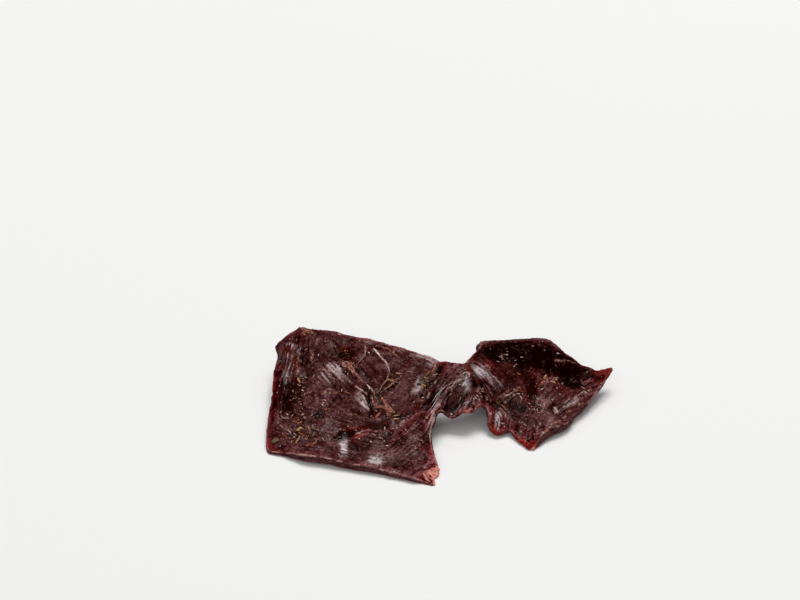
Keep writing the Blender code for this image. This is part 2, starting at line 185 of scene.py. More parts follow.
def latticeNoise(points, size, seed):
    rng = np.random.default_rng(seed)
    lattice = rng.uniform(-1, 1, (32, 32, 32))
    turned = points @ np.linalg.qr(rng.normal(size=(3, 3)))[0] / size + rng.uniform(0, 32, 3)
    cell = np.floor(turned).astype(int)
    share = turned - cell
    share = share * share * share * (share * (share * 6 - 15) + 10)
    total = np.zeros(len(points))
    for corner in np.ndindex(2, 2, 2):
        weight = np.prod(np.where(corner, share, 1 - share), axis=1)
        x, y, z = ((cell + corner) % 32).T
        total += weight * lattice[x, y, z]
    return total


def layeredNoise(points, size, seed, layers=3):
    # each layer has half the size and half the strength of the one before
    return sum(0.5 ** i * latticeNoise(points, size / 2 ** i, seed + i) for i in range(layers))


def smoothStep(low, high, value):
    share = np.clip((value - low) / (high - low), 0, 1)
    return share * share * (3 - 2 * share)


def bell(gap, width):
    return np.exp(-((gap / width) ** 2))


def lineDistance(where, line):
    best = np.full(len(where), np.inf)
    for start, end in zip(line[:-1], line[1:]):
        a, b = np.array(start), np.array(end)
        share = np.clip((where - a) @ (b - a) / ((b - a) @ (b - a)), 0, 1)
        best = np.minimum(best, np.linalg.norm(where - a - share[:, None] * (b - a), axis=1))
    return best


def meshArrays(mesh):
    verts = np.empty(len(mesh.vertices) * 3)
    mesh.vertices.foreach_get("co", verts)
    edges = np.empty(len(mesh.edges) * 2, int)
    mesh.edges.foreach_get("vertices", edges)
    return verts.reshape(-1, 3), edges.reshape(-1, 2)


def vertexNormals(mesh, verts):
    mesh.vertices.foreach_set("co", verts.ravel())
    mesh.update()
    normals = np.empty(len(verts) * 3)
    mesh.vertex_normals.foreach_get("vector", normals)
    return normals.reshape(-1, 3)


def relaxed(values, edges, rounds, share=0.5, keep=None):
    # moves the values of each vertex towards the mean of its neighbours'
    count = len(values)
    degree = np.bincount(edges.ravel(), minlength=count)[:, None]
    for _ in range(rounds):
        total = np.zeros_like(values)
        for axis in range(values.shape[1]):
            total[:, axis] = np.bincount(edges[:, 0], values[edges[:, 1], axis], count)
            total[:, axis] += np.bincount(edges[:, 1], values[edges[:, 0], axis], count)
        moved = values + share * (total / degree - values)
        values = moved if keep is None else np.where(keep[:, None], values, moved)
    return values


# The slice's skin

slicePiece = {
    "voxel": 0.34,              # mesh spacing, so that a wrinkle has a few points across it
    "underShare": 0.68,         # faces left after the underside is thinned out
    "smoothing": 2,             # rounds of smoothing that spare the cut rim
    "rimKept": 0.45,            # how near the cut rim they stop, so that it stays crisp
    "flakeMargin": 0.5,         # levelled round each flake of the solid
    "levelling": 120,           # rounds of smoothing that level a flake
    "edgeReach": 4.3,           # a line inwards runs further than this where it starts at the slice's edge
    "wanderSize": 3.0,          # patches and seams wander, so that none is straight or round
    "patchWander": 0.9,
    "seamWander": 0.35,
    "seamUnevenSize": 1.5,
    "seamUnevenness": 0.8,
    "seamValley": 0.30,         # the face sinks beside a seam
    "seamValleyWidth": 1.7,
    "fleckBreakSize": 2.6,      # the flecks lie in clouds of this size
    "fibreStep": 0.3,           # real fibres are 0.1 mm thick: drawn this coarse, they show
    "fibreReach": 3.0,          # half length of a fibre
    "fibreDepth": 0.06,
    "wrinkleSize": 1.6,
    "wrinkleDepth": 0.10,
    "lumpSize": 5.0,
    "lumpDepth": 0.34,
    "pitSize": 0.9,
    "pitDepth": 0.10,
    "ragSize": 0.9,             # the slice's edge is ragged, most where it is torn
    "ragWidth": 0.8,
    "ragDepth": 0.22,
    "rimLift": 0.12,            # the dried rim stands up a little, in broken stretches
    "rimWidth": 0.30,
    "rimBreakSize": 1.1,
    "tableTop": 0.9,            # relief fades out from this height down to the next, where the slice lies
    "tableBottom": 0.25,
    "thinnest": 1.2,            # flesh this thin lets all the light through that it can
    "thickest": 2.4,            # flesh this thick lets none through
    "domeRounds": 40,           # how far hollows and domes are told apart
    "domeHeight": 0.8,
    "bulgeLow": 0.008,          # heights over the neighbours where a ridge or groove starts and is full
    "bulgeHigh": 0.035,
}

# How the fibres run: x, y, direction in degrees
fibreRuns = [
    (-52, 18, 75), (-48, 5, 80), (-38, 10, -55), (-32, 3, -50), (-42, -12, -20), (-28, -22, -15),
    (-18, 8, -50), (-8, 8, -35), (-12, -8, 40), (-10, -24, 50), (-2, -4, 60), (5, 2, 45), (9, -2, 65),
    (14, 4, -45), (20, 2, -30), (30, 6, 60), (28, -12, 75), (40, 2, 45), (50, 8, 40), (28, 28, 90),
    (30, 16, 10),
]

# Lines on the upper face: height, half width, tint, points; the dark tint is painted shade in cracks, pits
# and pockets
seams = {
    "cornerLine": (-0.06, 0.18, None, [(-41.9, 21.5), (-43.1, 17.5), (-44.3, 14.4), (-45.5, 12.9)]),
    "cornerRidge": (0.1, 0.22, "tan", [(-40.9, 21.3), (-42.1, 17.3), (-43.4, 13.9)]),
    "cornerFold": (0.18, 0.8, None, [(-52.7, 25.1), (-50.0, 21.5), (-47.8, 18.9), (-47.0, 15.6),
        (-47.3, 11.5), (-48.1, 9.4)]),
    "cornerFoldInner": (0.14, 0.6, None, [(-46.1, 19.7), (-45.2, 17.1), (-45.3, 14.7), (-46.3, 11.5)]),
    "cornerValley": (-0.35, 0.6, "rust", [(-51.1, 21.0), (-49.4, 17.7), (-48.8, 14.1), (-49.6, 10.9)]),
    "leftStreak": (0.14, 0.22, "pale", [(-50.8, 14.7), (-51.4, 12.9), (-51.6, 11.4)]),
    "leftStreakOuter": (0.12, 0.2, "tan", [(-52.2, 16.0), (-52.3, 13.3)]),
    "backSeam": (0.12, 0.17, "tan", [(-25.3, 17.6), (-25.0, 13.7), (-26.2, 10.9), (-28.1, 9.2)]),
    "whiteSeam": (0.2, 0.24, "tan", [(-22.5, 15.4), (-21.4, 12.7), (-20.4, 10.6), (-18.9, 9.0)]),
    "whiteSeamEnd": (0.13, 0.17, "tan", [(-18.9, 9.0), (-17.7, 7.0), (-16.6, 4.7)]),
    "faintSeam": (0.1, 0.17, "tan", [(-16.6, 4.7), (-17.9, 2.6), (-19.9, 0.2), (-21.1, -1.9)]),
    "forkSeam": (0.14, 0.18, "tan", [(-13.3, 2.8), (-15.8, 1.4), (-18.5, -0.3), (-20.1, -1.4)]),
    "longSeam": (0.18, 0.18, "tan", [(-30.3, 7.3), (-27.8, 4.5), (-25.3, 1.6), (-23.2, -0.9),
        (-22.0, -2.0)]),
    "besideLongSeam": (0.16, 0.18, "tan", [(-28.4, 0.8), (-26.5, -1.2), (-24.8, -1.8)]),
    "deepCrack": (-0.4, 0.34, "dark", [(-23.9, -3.0), (-23.7, -4.7), (-23.4, -6.6)]),
    "markLeft": (0.1, 0.2, "tan", [(-38.9, 0.2), (-37.3, 1.2), (-35.6, 1.1), (-34.3, -0.3)]),
    "faceLine": (-0.18, 0.35, None, [(-35.9, -3.6), (-33.9, -1.5), (-32.3, -0.5)]),
    "spicedSeam": (-0.3, 0.4, "dark", [(-0.4, 5.6), (-1.4, 3.9), (-3.5, 0.9), (-5.1, -1.3), (-6.6, -3.9)]),
    "spicedLip": (0.14, 0.2, "tan", [(-1.2, 7.8), (-2.6, 4.3), (-4.6, 1.7), (-6.4, -1.0)]),
    "spicedTail": (-0.2, 0.34, "rust", [(-6.6, -3.9), (-9.3, -8.0), (-14.6, -10.4)]),
    "tearDeep": (-0.3, 0.34, "dark", [(-33.2, -16.3), (-31.6, -15.8), (-30.0, -15.3), (-28.4, -14.7)]),
    "tearLine": (-0.22, 0.26, "rust", [(-35.7, -14.1), (-33.3, -13.4), (-30.4, -13.2), (-27.6, -13.4),
        (-23.9, -13.0), (-21.9, -12.4)]),
    "longFold": (-0.18, 0.7, None, [(-17.8, -20.0), (-15.0, -17.6), (-11.7, -14.3), (-7.6, -9.8),
        (-3.0, -3.9)]),
    "foldRidge": (0.28, 0.9, None, [(-15.4, -16.8), (-12.5, -12.2), (-8.9, -9.1), (-5.6, -7.2)]),
    "foldLine": (-0.08, 0.4, None, [(-14.6, -14.9), (-11.3, -12.4), (-8.0, -10.3)]),
    "foldLineLow": (-0.08, 0.4, None, [(-17.4, -21.2), (-14.2, -18.9), (-12.5, -16.6)]),
    # bayLip's pale tint is a painted highlight along the lip
    "bayLip": (0.15, 0.13, "pale", [(-0.9, -8.6), (-2.9, -12.2), (-3.8, -14.7), (-3.9, -18.0)]),
    "bayLipInner": (0.16, 0.24, None, [(0.2, -1.4), (-2.3, -4.3), (-4.3, -7.8), (-5.4, -10.8)]),
    "neckLine": (0.26, 0.24, None, [(-2.9, -3.6), (-0.8, -1.2), (2.1, 0.3), (4.9, 1.3), (7.6, 1.9)]),
    "neckLoop": (0.22, 0.26, None, [(6.6, 3.3), (8.1, 4.4), (9.3, 3.4), (9.1, 2.2)]),
    "neckRidgeLow": (0.3, 0.3, None, [(-4.2, -12.4), (-2.6, -9.2), (-0.8, -6.3), (1.2, -4.2),
        (3.3, -2.3)]),
    "neckRidgeHigh": (0.26, 0.28, None, [(-2.4, -4.2), (0.9, -2.0), (4.2, 0.4), (8.3, 3.3)]),
    "neckPocket": (-0.1, 0.6, "dark", [(2.4, -2.8), (2.0, -4.2), (1.6, -5.7)]),
    "bulgeGroove": (-0.35, 0.55, "rust", [(9.6, 5.6), (10.7, 3.8), (12.1, 2.4), (13.5, 0.9),
        (15.3, -0.2)]),
    "lobeGroove": (-0.22, 0.34, "rust", [(15.3, -0.2), (16.9, -0.9), (19.4, -1.1)]),
    "lobeSeam": (0.16, 0.2, "tan", [(18.6, -0.9), (21.5, 0.9), (23.6, 2.1), (26.2, 3.5)]),
    "shortLine": (0.12, 0.2, "pale", [(37.7, -1.2), (38.5, -3.0)]),
    "backLine": (0.12, 0.24, "tan", [(38.0, 15.9), (42.7, 17.3), (47.4, 17.7)]),
    "lobeLip": (0.14, 0.2, "tan", [(33.4, -13.2), (34.3, -12.0), (35.3, -10.2), (38.3, -7.6),
        (41.8, -3.2), (44.9, 0.3), (47.4, 3.2)]),
    "neckPit": (-0.7, 0.34, "dark", [(6.3, 0.5), (6.5, 0.2)]),
    "cornerCrust": (0.1, 0.42, "tan", [(-48.0, 26.2), (-46.8, 26.1), (-45.1, 25.4), (-44.0, 24.8),
        (-42.3, 23.8)]),
    "frontCornerCrust": (0.06, 0.3, "tan", [(-56.0, -18.6), (-54.0, -18.9), (-52.7, -18.9)]),
    "topCrust": (0.06, 0.3, "tan", [(-21.4, 16.6), (-18.8, 15.0), (-16.2, 12.8), (-15.1, 11.2)]),
}

# Patches of other flesh: x, y, radius along and across, direction in degrees, strength
patches = {
    "red": [    # crimson flesh, at thin edges and where the slice is torn
        (-55.4, 8.0, 13.0, 1.3, 88, 1.0), (-27.0, -15.5, 4.5, 1.8, 5, 0.9), (-31.3, 14.3, 3.0, 2.4, 0, 0.5),
        (-3.6, -24.0, 9.0, 2.0, 80, 0.5), (-10.0, -11.5, 9.0, 1.6, 52, 0.4),
        (-50.0, 22.5, 5.0, 3.0, 30, 0.5), (5.0, -5.6, 4.0, 2.0, 10, 0.6), (12.0, 5.4, 3.0, 1.2, -60, 0.6),
        (18.5, -7.3, 6.0, 3.0, -60, 0.5), (27.0, -12.9, 7.0, 3.6, -45, 0.45),
        (54.7, 15.9, 5.0, 2.4, 40, 1.0), (30.1, 3.2, 3.0, 5.0, 0, 0.6), (33.1, 14.5, 20.0, 6.5, 0, 0.4),
        (41.3, 7.2, 6.0, 4.0, 0, 0.4), (45.0, 14.6, 11.0, 1.6, -14, 1.0), (26.0, -14.5, 6.0, 1.8, -42, 1.0),
        (16.8, -9.6, 3.0, 2.0, -50, 1.0), (-57.2, -8.0, 14.0, 0.7, 90, 0.6), (9.0, -5.1, 5.0, 2.4, 0, 0.6),
        (17.0, 7.2, 4.0, 4.0, 0, 0.6),
    ],
    "torn": [    # pale torn fibres
        (-1.0, -35.0, 3.0, 1.4, 60, 1.0), (-2.4, -30.6, 3.4, 0.9, 35, 1.0), (-2.2, -31.8, 1.8, 1.2, 0, 1.0),
        (29.4, -18.5, 1.6, 1.0, 0, 0.8), (9.0, -7.5, 2.4, 0.6, 0, 0.5), (-25.6, -15.9, 2.0, 0.45, 25, 0.4),
        (-17.8, -7.0, 3.0, 0.4, -60, 0.35), (-30.8, 8.6, 1.8, 0.8, -30, 0.5),
    ],
    "deep": [    # painted shade in hollows and pockets and over the lobe's upper part, partly darker flesh
        (-52.6, 6.0, 7.0, 1.4, 85, 0.5), (-48.8, 2.1, 7.0, 2.6, 70, 0.8), (-44.6, 13.4, 2.0, 0.8, 60, 0.4),
        (-31.5, 14.2, 3.0, 2.0, 0, 0.7), (-30.5, -15.4, 4.4, 1.1, 8, 0.9), (23.4, 5.4, 4.4, 2.6, 30, 0.3),
        (2.4, -3.8, 0.8, 2.2, -15, 1.0), (13.0, 0.6, 6.0, 1.2, -35, 0.8), (29.9, 3.2, 1.6, 3.4, 10, 0.5),
        (31.1, 14.7, 18.0, 5.6, 0, 1.0), (42.3, 9.0, 6.0, 2.0, 0, 0.7),
    ],
    "dry": [    # paler: a bloom of salt, and a painted sheen
        (-36.0, 3.4, 9.0, 7.0, -35, 0.7), (-11.5, -14.0, 9.0, 2.8, 50, 1.0),
        (-20.0, 8.3, 7.0, 6.0, -30, 0.45), (-12.0, -1.5, 6.0, 6.0, 40, 0.7),
        (-31.0, -7.1, 9.0, 6.0, 0, 0.6), (-38.0, -21.0, 12.0, 3.0, -20, 0.7),
        (-18.0, -23.8, 8.0, 5.0, 20, 0.7), (-9.0, -25.3, 5.0, 6.0, 0, 0.6), (2.0, 3.4, 3.8, 2.2, 60, 1.0),
        (33.1, -1.4, 4.0, 3.4, 0, 1.0), (32.1, -6.9, 7.0, 5.0, 40, 0.7), (43.3, 1.5, 8.0, 3.0, 42, 0.8),
        (23.0, 3.7, 4.0, 2.0, 20, 0.4),
    ],
    "wetAndPaintedSheen": [    # greasy, with more gloss, and a painted sheen that lightens the colour
        (-5.4, 8.9, 4.6, 1.6, -32, 0.75), (-7.4, -0.8, 2.8, 1.3, 60, 0.8),
        (-31.6, -20.6, 3.8, 1.5, 90, 1.0), (-21.4, -27.0, 2.6, 1.9, 10, 0.9),
        (-35.2, 7.4, 4.2, 1.1, -54, 0.55), (-38.4, 5.6, 3.0, 1.0, -60, 0.35),
        (-25.9, -5.0, 2.8, 1.1, -62, 1.0), (13.2, 5.6, 3.4, 1.5, -28, 1.0), (17.0, 3.0, 2.4, 1.2, -30, 0.6),
        (7.2, 0.8, 2.1, 1.9, 60, 1.0), (8.6, 3.4, 1.4, 0.8, 60, 0.7), (7.2, -4.8, 3.4, 1.3, 12, 0.55),
        (11.6, -3.6, 2.0, 0.8, -20, 0.4), (32.9, -0.6, 2.8, 2.8, 0, 0.1), (18.2, -6.7, 1.8, 1.0, 60, 1.0),
        (42.4, 0.4, 4.4, 0.9, 50, 0.4), (-51.4, 11.6, 1.0, 3.4, 0, 0.25), (-50.6, 23.6, 3.0, 0.6, -40, 0.5),
        (-47.4, 19.4, 2.6, 0.5, -60, 0.4), (-2.0, -7.0, 8.0, 0.8, 72, 0.5),
    ],
    "band": [    # the front edge of the right lobe, where the cut side shows
        (36.6, -10.2, 3.4, 0.9, 44, 1.0), (41.6, -5.6, 5.0, 1.0, 50, 1.0), (46.8, 0.9, 5.6, 0.8, 47, 1.0),
    ],
    "glow": [    # light comes through the flesh
        (25.8, -14.0, 5.0, 1.3, -50, 1.0), (29.3, -17.2, 2.4, 1.5, -60, 1.0),
        (20.4, -9.8, 3.0, 0.8, -12, 0.8), (16.6, -8.4, 2.0, 0.8, -60, 0.8), (8.0, -7.2, 5.4, 0.8, 0, 0.7),
        (12.8, -4.6, 3.0, 1.2, -20, 0.3), (-55.9, 9.8, 3.6, 0.8, 88, 0.8),
        (-53.4, 23.8, 1.6, 1.0, -60, 0.7), (-47.6, 13.0, 2.6, 0.6, 85, 0.5),
        (-26.6, -17.6, 3.0, 1.0, 10, 0.9), (-27.0, -14.0, 3.4, 0.6, 8, 0.8),
        (54.4, 16.6, 4.0, 0.9, 34, 0.7), (-3.2, -24.0, 6.0, 0.6, 84, 0.5),
        (-4.6, -29.4, 3.0, 0.8, -50, 0.5), (-31.4, 15.3, 2.4, 0.8, -25, 0.4),
        (9.4, 5.6, 2.4, 0.8, -60, 0.5),
    ],
    "amber": [    # browner flesh
        (29.5, 6.0, 3.5, 4.5, 0, 0.5), (22.0, 6.5, 6.0, 3.0, 20, 0.8), (-47.5, 3.0, 7.0, 3.0, 80, 0.5),
        (-26.0, -14.0, 7.0, 2.0, 5, 0.6), (-28.0, 12.0, 6.0, 3.0, -20, 0.5),
    ],
    "fleck": [    # where flecks of fat and lines of tissue lie close
        (-47.0, 9.0, 9.0, 4.0, 85, 1.0), (-41.0, 9.0, 7.0, 5.0, -45, 0.5),
        (-38.0, -3.0, 6.0, 4.0, -40, 0.7), (-47.0, -7.0, 7.0, 4.0, 0, 0.8),
        (-30.0, -16.0, 8.0, 3.0, 10, 0.7), (-20.0, -6.0, 4.0, 6.0, -20, 0.8),
        (-13.0, -11.0, 8.0, 2.0, 40, 0.6), (-4.0, -1.0, 6.0, 2.0, 60, 0.8), (7.0, -6.5, 7.0, 2.6, 0, 1.0),
        (13.5, -2.0, 4.0, 3.0, -40, 0.9), (18.5, -7.5, 3.4, 3.0, -50, 1.0), (24.0, 12.0, 5.0, 2.4, 10, 0.5),
        (36.0, 6.0, 5.0, 2.0, 15, 0.8), (32.8, -1.6, 5.0, 4.0, 10, 1.0), (24.0, -0.4, 4.0, 2.0, 20, 0.8),
        (45.0, 4.0, 6.0, 2.0, 42, 0.7), (24.0, -9.0, 6.0, 3.0, -40, 0.6), (-3.4, 3.6, 4.0, 2.0, 60, 0.6),
    ],
    "streak": [    # where the fibres show
        (-34.6, 6.0, 6.0, 4.0, -45, 1.0), (14.8, 4.7, 6.0, 3.0, -30, 0.6),
        (-8.0, -14.3, 15.0, 5.0, 50, 0.35), (4.0, -1.1, 6.0, 4.0, 45, 0.8),
        (-51.5, 8.1, 12.0, 2.6, 88, 0.5), (-50.0, 22.0, 4.0, 3.0, 30, 0.5), (44.4, 1.8, 9.0, 2.0, 42, 0.7),
        (50.6, 13.9, 6.0, 4.0, 40, 0.7), (26.1, -11.0, 8.0, 4.0, -60, 0.5), (8.0, -5.0, 6.0, 3.0, 0, 0.8),
        (-2.0, -32.0, 5.0, 4.0, 60, 1.0),
    ],
    "herb": [    # where splinters and scraps of leaf lie
        (-45.6, -12.3, 4.2, 3.4, -20, 1.0), (-51.6, -11.5, 1.4, 2.6, -20, 0.6),
        (-41.8, -15.7, 2.0, 2.4, 0, 0.8), (-20.6, -3.6, 1.4, 2.2, 0, 0.5),
        (-16.0, -9.1, 2.4, 1.2, -50, 0.6), (-4.6, 1.3, 3.6, 1.0, 55, 0.5), (35.8, 6.6, 2.6, 0.9, 20, 0.5),
    ],
    "crumb": [    # where pepper and crumbs of spice lie
        (-46.0, -12.7, 6.0, 4.6, -20, 1.0), (-20.6, -3.6, 2.0, 3.0, 0, 1.0),
        (-16.0, -9.1, 3.0, 1.8, -50, 1.0), (-30.6, 7.6, 2.6, 1.9, -30, 0.9), (-4.4, 1.1, 5.0, 1.6, 55, 1.0),
        (-46.0, 3.4, 6.0, 2.4, 80, 0.8), (-38.0, -5.4, 5.0, 2.0, -40, 0.5), (-14.2, 2.8, 2.2, 1.2, 20, 0.8),
        (35.5, 6.5, 4.2, 1.6, 20, 1.0), (48.8, 8.1, 2.6, 1.8, 40, 0.9), (20.6, 0.1, 5.0, 1.0, 25, 0.9),
        (18.6, -3.1, 1.4, 3.0, 20, 0.7), (-8.0, -18.8, 2.2, 1.8, 60, 0.7), (26.8, 2.0, 1.2, 1.2, 0, 0.8),
        (33.1, -1.4, 3.4, 3.4, 0, 0.7), (-50.0, 24.0, 4.0, 2.0, 0, 0.4), (-8.0, 9.1, 5.0, 2.0, -30, 0.5),
        (-34.0, 14.2, 4.0, 2.0, -20, 0.4),
    ],
    "olive": [    # stains of a dark leaf
        (-54.3, -14.9, 0.9, 0.9, 0, 0.4), (-40.2, -8.0, 1.9, 1.1, 30, 1.0),
        (25.8, -1.9, 2.8, 1.3, -15, 1.0), (-21.1, -3.5, 1.3, 1.3, 0, 0.7), (-12.6, -10.0, 1.8, 0.9, 0, 0.6),
    ],
}


def mergedMesh(node):
    bm = bmesh.new()
    bm.from_mesh(node.data)
    bmesh.ops.remove_doubles(bm, verts=bm.verts, dist=1e-7)
    bmesh.ops.scale(bm, vec=(1 / mm,) * 3, verts=bm.verts)
    return bm


def nearFlakes(where):
    near = np.zeros(len(where), bool)
    for place, length, _, _ in flakePlaces():
        near |= np.hypot(*(where[:, :2] - place).T) <= length / 2 + slicePiece["flakeMargin"]
    return near


def cutRim(node):
    # points along the solid's upper rim, where the face breaks off to the cut side
    bm = mergedMesh(node)
    level = 0.5         # upward part of a normal that parts the face from the cut side
    leastBend = 0.5     # radians
    spacing = 0.15
    found = []
    for edge in bm.edges:
        tilts = sorted(face.normal.z for face in edge.link_faces)
        if len(tilts) == 2 and tilts[0] < level < tilts[1] and edge.calc_face_angle(0) > leastBend:
            a, b = (np.array(v.co) for v in edge.verts)
            count = max(2, int(np.linalg.norm(b - a) / spacing))
            found.extend(a + (b - a) * k / count for k in range(count))
    bm.free()
    found = np.array(found)
    return found[~nearFlakes(found)]


def distanceTo(verts, points):
    # from each vertex to the nearest of the points
    tree = KDTree(len(points))
    for i, point in enumerate(points):
        tree.insert(Vector(point), i)
    tree.balance()
    return np.array([tree.find(Vector(v))[2] for v in verts])


def denseCopy(node):
    bm = mergedMesh(node)
    mesh = bpy.data.meshes.new("skinCore")
    bm.to_mesh(mesh)
    bm.free()
    core = newObject("skinCore", mesh)
    remesh = core.modifiers.new("remesh", "REMESH")
    remesh.mode = "VOXEL"
    remesh.voxel_size = slicePiece["voxel"]
    dense = evaluatedMesh(core)
    bpy.data.objects.remove(core)

    # the underside is seldom seen, so it gets fewer faces
    normals = vertexNormals(dense, meshArrays(dense)[0])
    coarse = newObject("skinCoarse", dense)
    under = coarse.vertex_groups.new(name="under")
    under.add([int(i) for i in np.flatnonzero(normals[:, 2] < -0.3)], 1.0, "REPLACE")
    fewer = coarse.modifiers.new("fewer", "DECIMATE")
    fewer.ratio = slicePiece["underShare"]
    fewer.vertex_group = "under"
    mesh = evaluatedMesh(coarse)
    bpy.data.objects.remove(coarse)
    return mesh


def fibreBend(x, y):
    # how the fibres run at a place in the drawing, as a unit complex number
    bend = np.zeros(np.shape(x), complex)
    for runX, runY, degrees in fibreRuns:
        weight = 1 / ((x - runX) ** 2 + (y - runY) ** 2 + 20) ** 1.5
        bend += weight * np.exp(2j * math.radians(degrees))
    return np.exp(0.5j * np.angle(bend))


def fibreNoise(where, seed):
    # white noise smeared along the fibres on a grid in plan, then read at each place
    step = slicePiece["fibreStep"]
    low, high = where.min(axis=0) - 1, where.max(axis=0) + 1
    axes = np.arange(low[0], high[0], step), np.arange(low[1], high[1], step)
    gridX, gridY = np.meshgrid(*axes, indexing="ij")
    bend = fibreBend(gridX, gridY)
    white = np.random.default_rng(seed).normal(size=gridX.shape)
    total = white.copy()
    for way in (1, -1):
        x, y = np.indices(gridX.shape).astype(float)
        heading = bend * way
        for _ in range(int(slicePiece["fibreReach"] / step)):
            x = np.clip(x + heading.real, 0, gridX.shape[0] - 1)
            y = np.clip(y + heading.imag, 0, gridX.shape[1] - 1)
            i, j = np.rint(x).astype(int), np.rint(y).astype(int)
            total += white[i, j]
            nextHeading = bend[i, j]
            flip = np.sign((nextHeading * heading.conj()).real)
            heading = nextHeading * np.where(flip == 0, 1, flip)
    total /= total.std()
    x, y = ((where - low) / step).T
    i, j = np.floor(x).astype(int), np.floor(y).astype(int)
    u, v = x - i, y - j
    return ((1 - u) * (1 - v) * total[i, j] + u * (1 - v) * total[i + 1, j]
            + (1 - u) * v * total[i, j + 1] + u * v * total[i + 1, j + 1])


def sheetThickness(mesh, verts, normals):
    # how far a line inwards runs until it leaves the slice
    start = 0.05
    farAway = 99.0
    tree = BVHTree.FromPolygons([Vector(v) for v in verts], [tuple(p.vertices) for p in mesh.polygons])
    found = np.empty(len(verts))
    for i, (place, normal) in enumerate(zip(verts, normals)):
        inward = -Vector(normal)
        hit = tree.ray_cast(Vector(place) + inward * start, inward)
        found[i] = farAway if hit[0] is None else hit[3]
    return found


def patchMasks(where):
    masks = {}
    for kind, places in patches.items():
        masks[kind] = np.zeros(len(where))
        for x, y, along, across, degrees, strength in places:
            turn = math.radians(degrees)
            dx, dy = where[:, 0] - x, where[:, 1] - y
            u = (dx * math.cos(turn) + dy * math.sin(turn)) / along
            v = (dy * math.cos(turn) - dx * math.sin(turn)) / across
            masks[kind] = np.maximum(masks[kind], strength * smoothStep(1.5, 0.4, np.hypot(u, v)))
    return masks


def seamRelief(where, uneven):
    # the seams' height at each place, and how strongly each tint shows there
    lift = np.zeros(len(where))
    tints = {tint: np.zeros(len(where)) for tint in ("pale", "tan", "rust", "dark")}
    for height, halfWidth, tint, line in seams.values():
        gap = lineDistance(where, line)
        profile = bell(gap, halfWidth * uneven) * np.clip(1.6 * uneven - 0.8, 0, 1)
        lift += height * profile
        if tint in ("tan", "pale"):
            lift -= slicePiece["seamValley"] * bell(gap, slicePiece["seamValleyWidth"])
        if tint is not None:
            tints[tint] = np.maximum(tints[tint], profile)
    return lift, tints


# The largest flakes of herb stick where the solid has them: x, y, radius of the patch, number
flakePiece = {
    "patches": [
        (-44.6, -12.3, 5.0, 7), (-19.5, -6.9, 3.0, 4), (-30.8, 8.7, 1.6, 2), (-4.9, 1.4, 2.6, 3),
        (-46.0, 5.0, 2.5, 2), (-15.4, 2.2, 1.5, 2), (34.6, 6.4, 3.0, 3), (48.0, 9.6, 2.0, 2),
        (19.0, -1.9, 2.2, 2),
    ],
    "length": 2.4,
    "width": 1.0,
    "thickness": 0.34,
    "footing": 1.6,       # how far round it the face gives a flake its tilt
    "stations": 7,
}


def flakePlaces():
    goldenAngle = math.pi * (3 - math.sqrt(5))
    for patch, (x, y, spread, count) in enumerate(flakePiece["patches"]):
        for number in range(count):
            turn = goldenAngle * (number + 3 * patch + 1)
            out = spread * math.sqrt((number + 0.4) / count)
            share = (turn / math.tau) % 1
            length = flakePiece["length"] * (0.75 + 0.5 * share)
            width = flakePiece["width"] * (1.15 - 0.3 * share)
            place = np.array([x + out * math.cos(turn), y + out * math.sin(turn)]) - drawingMiddle
            yield place, length, width, 2.3 * turn


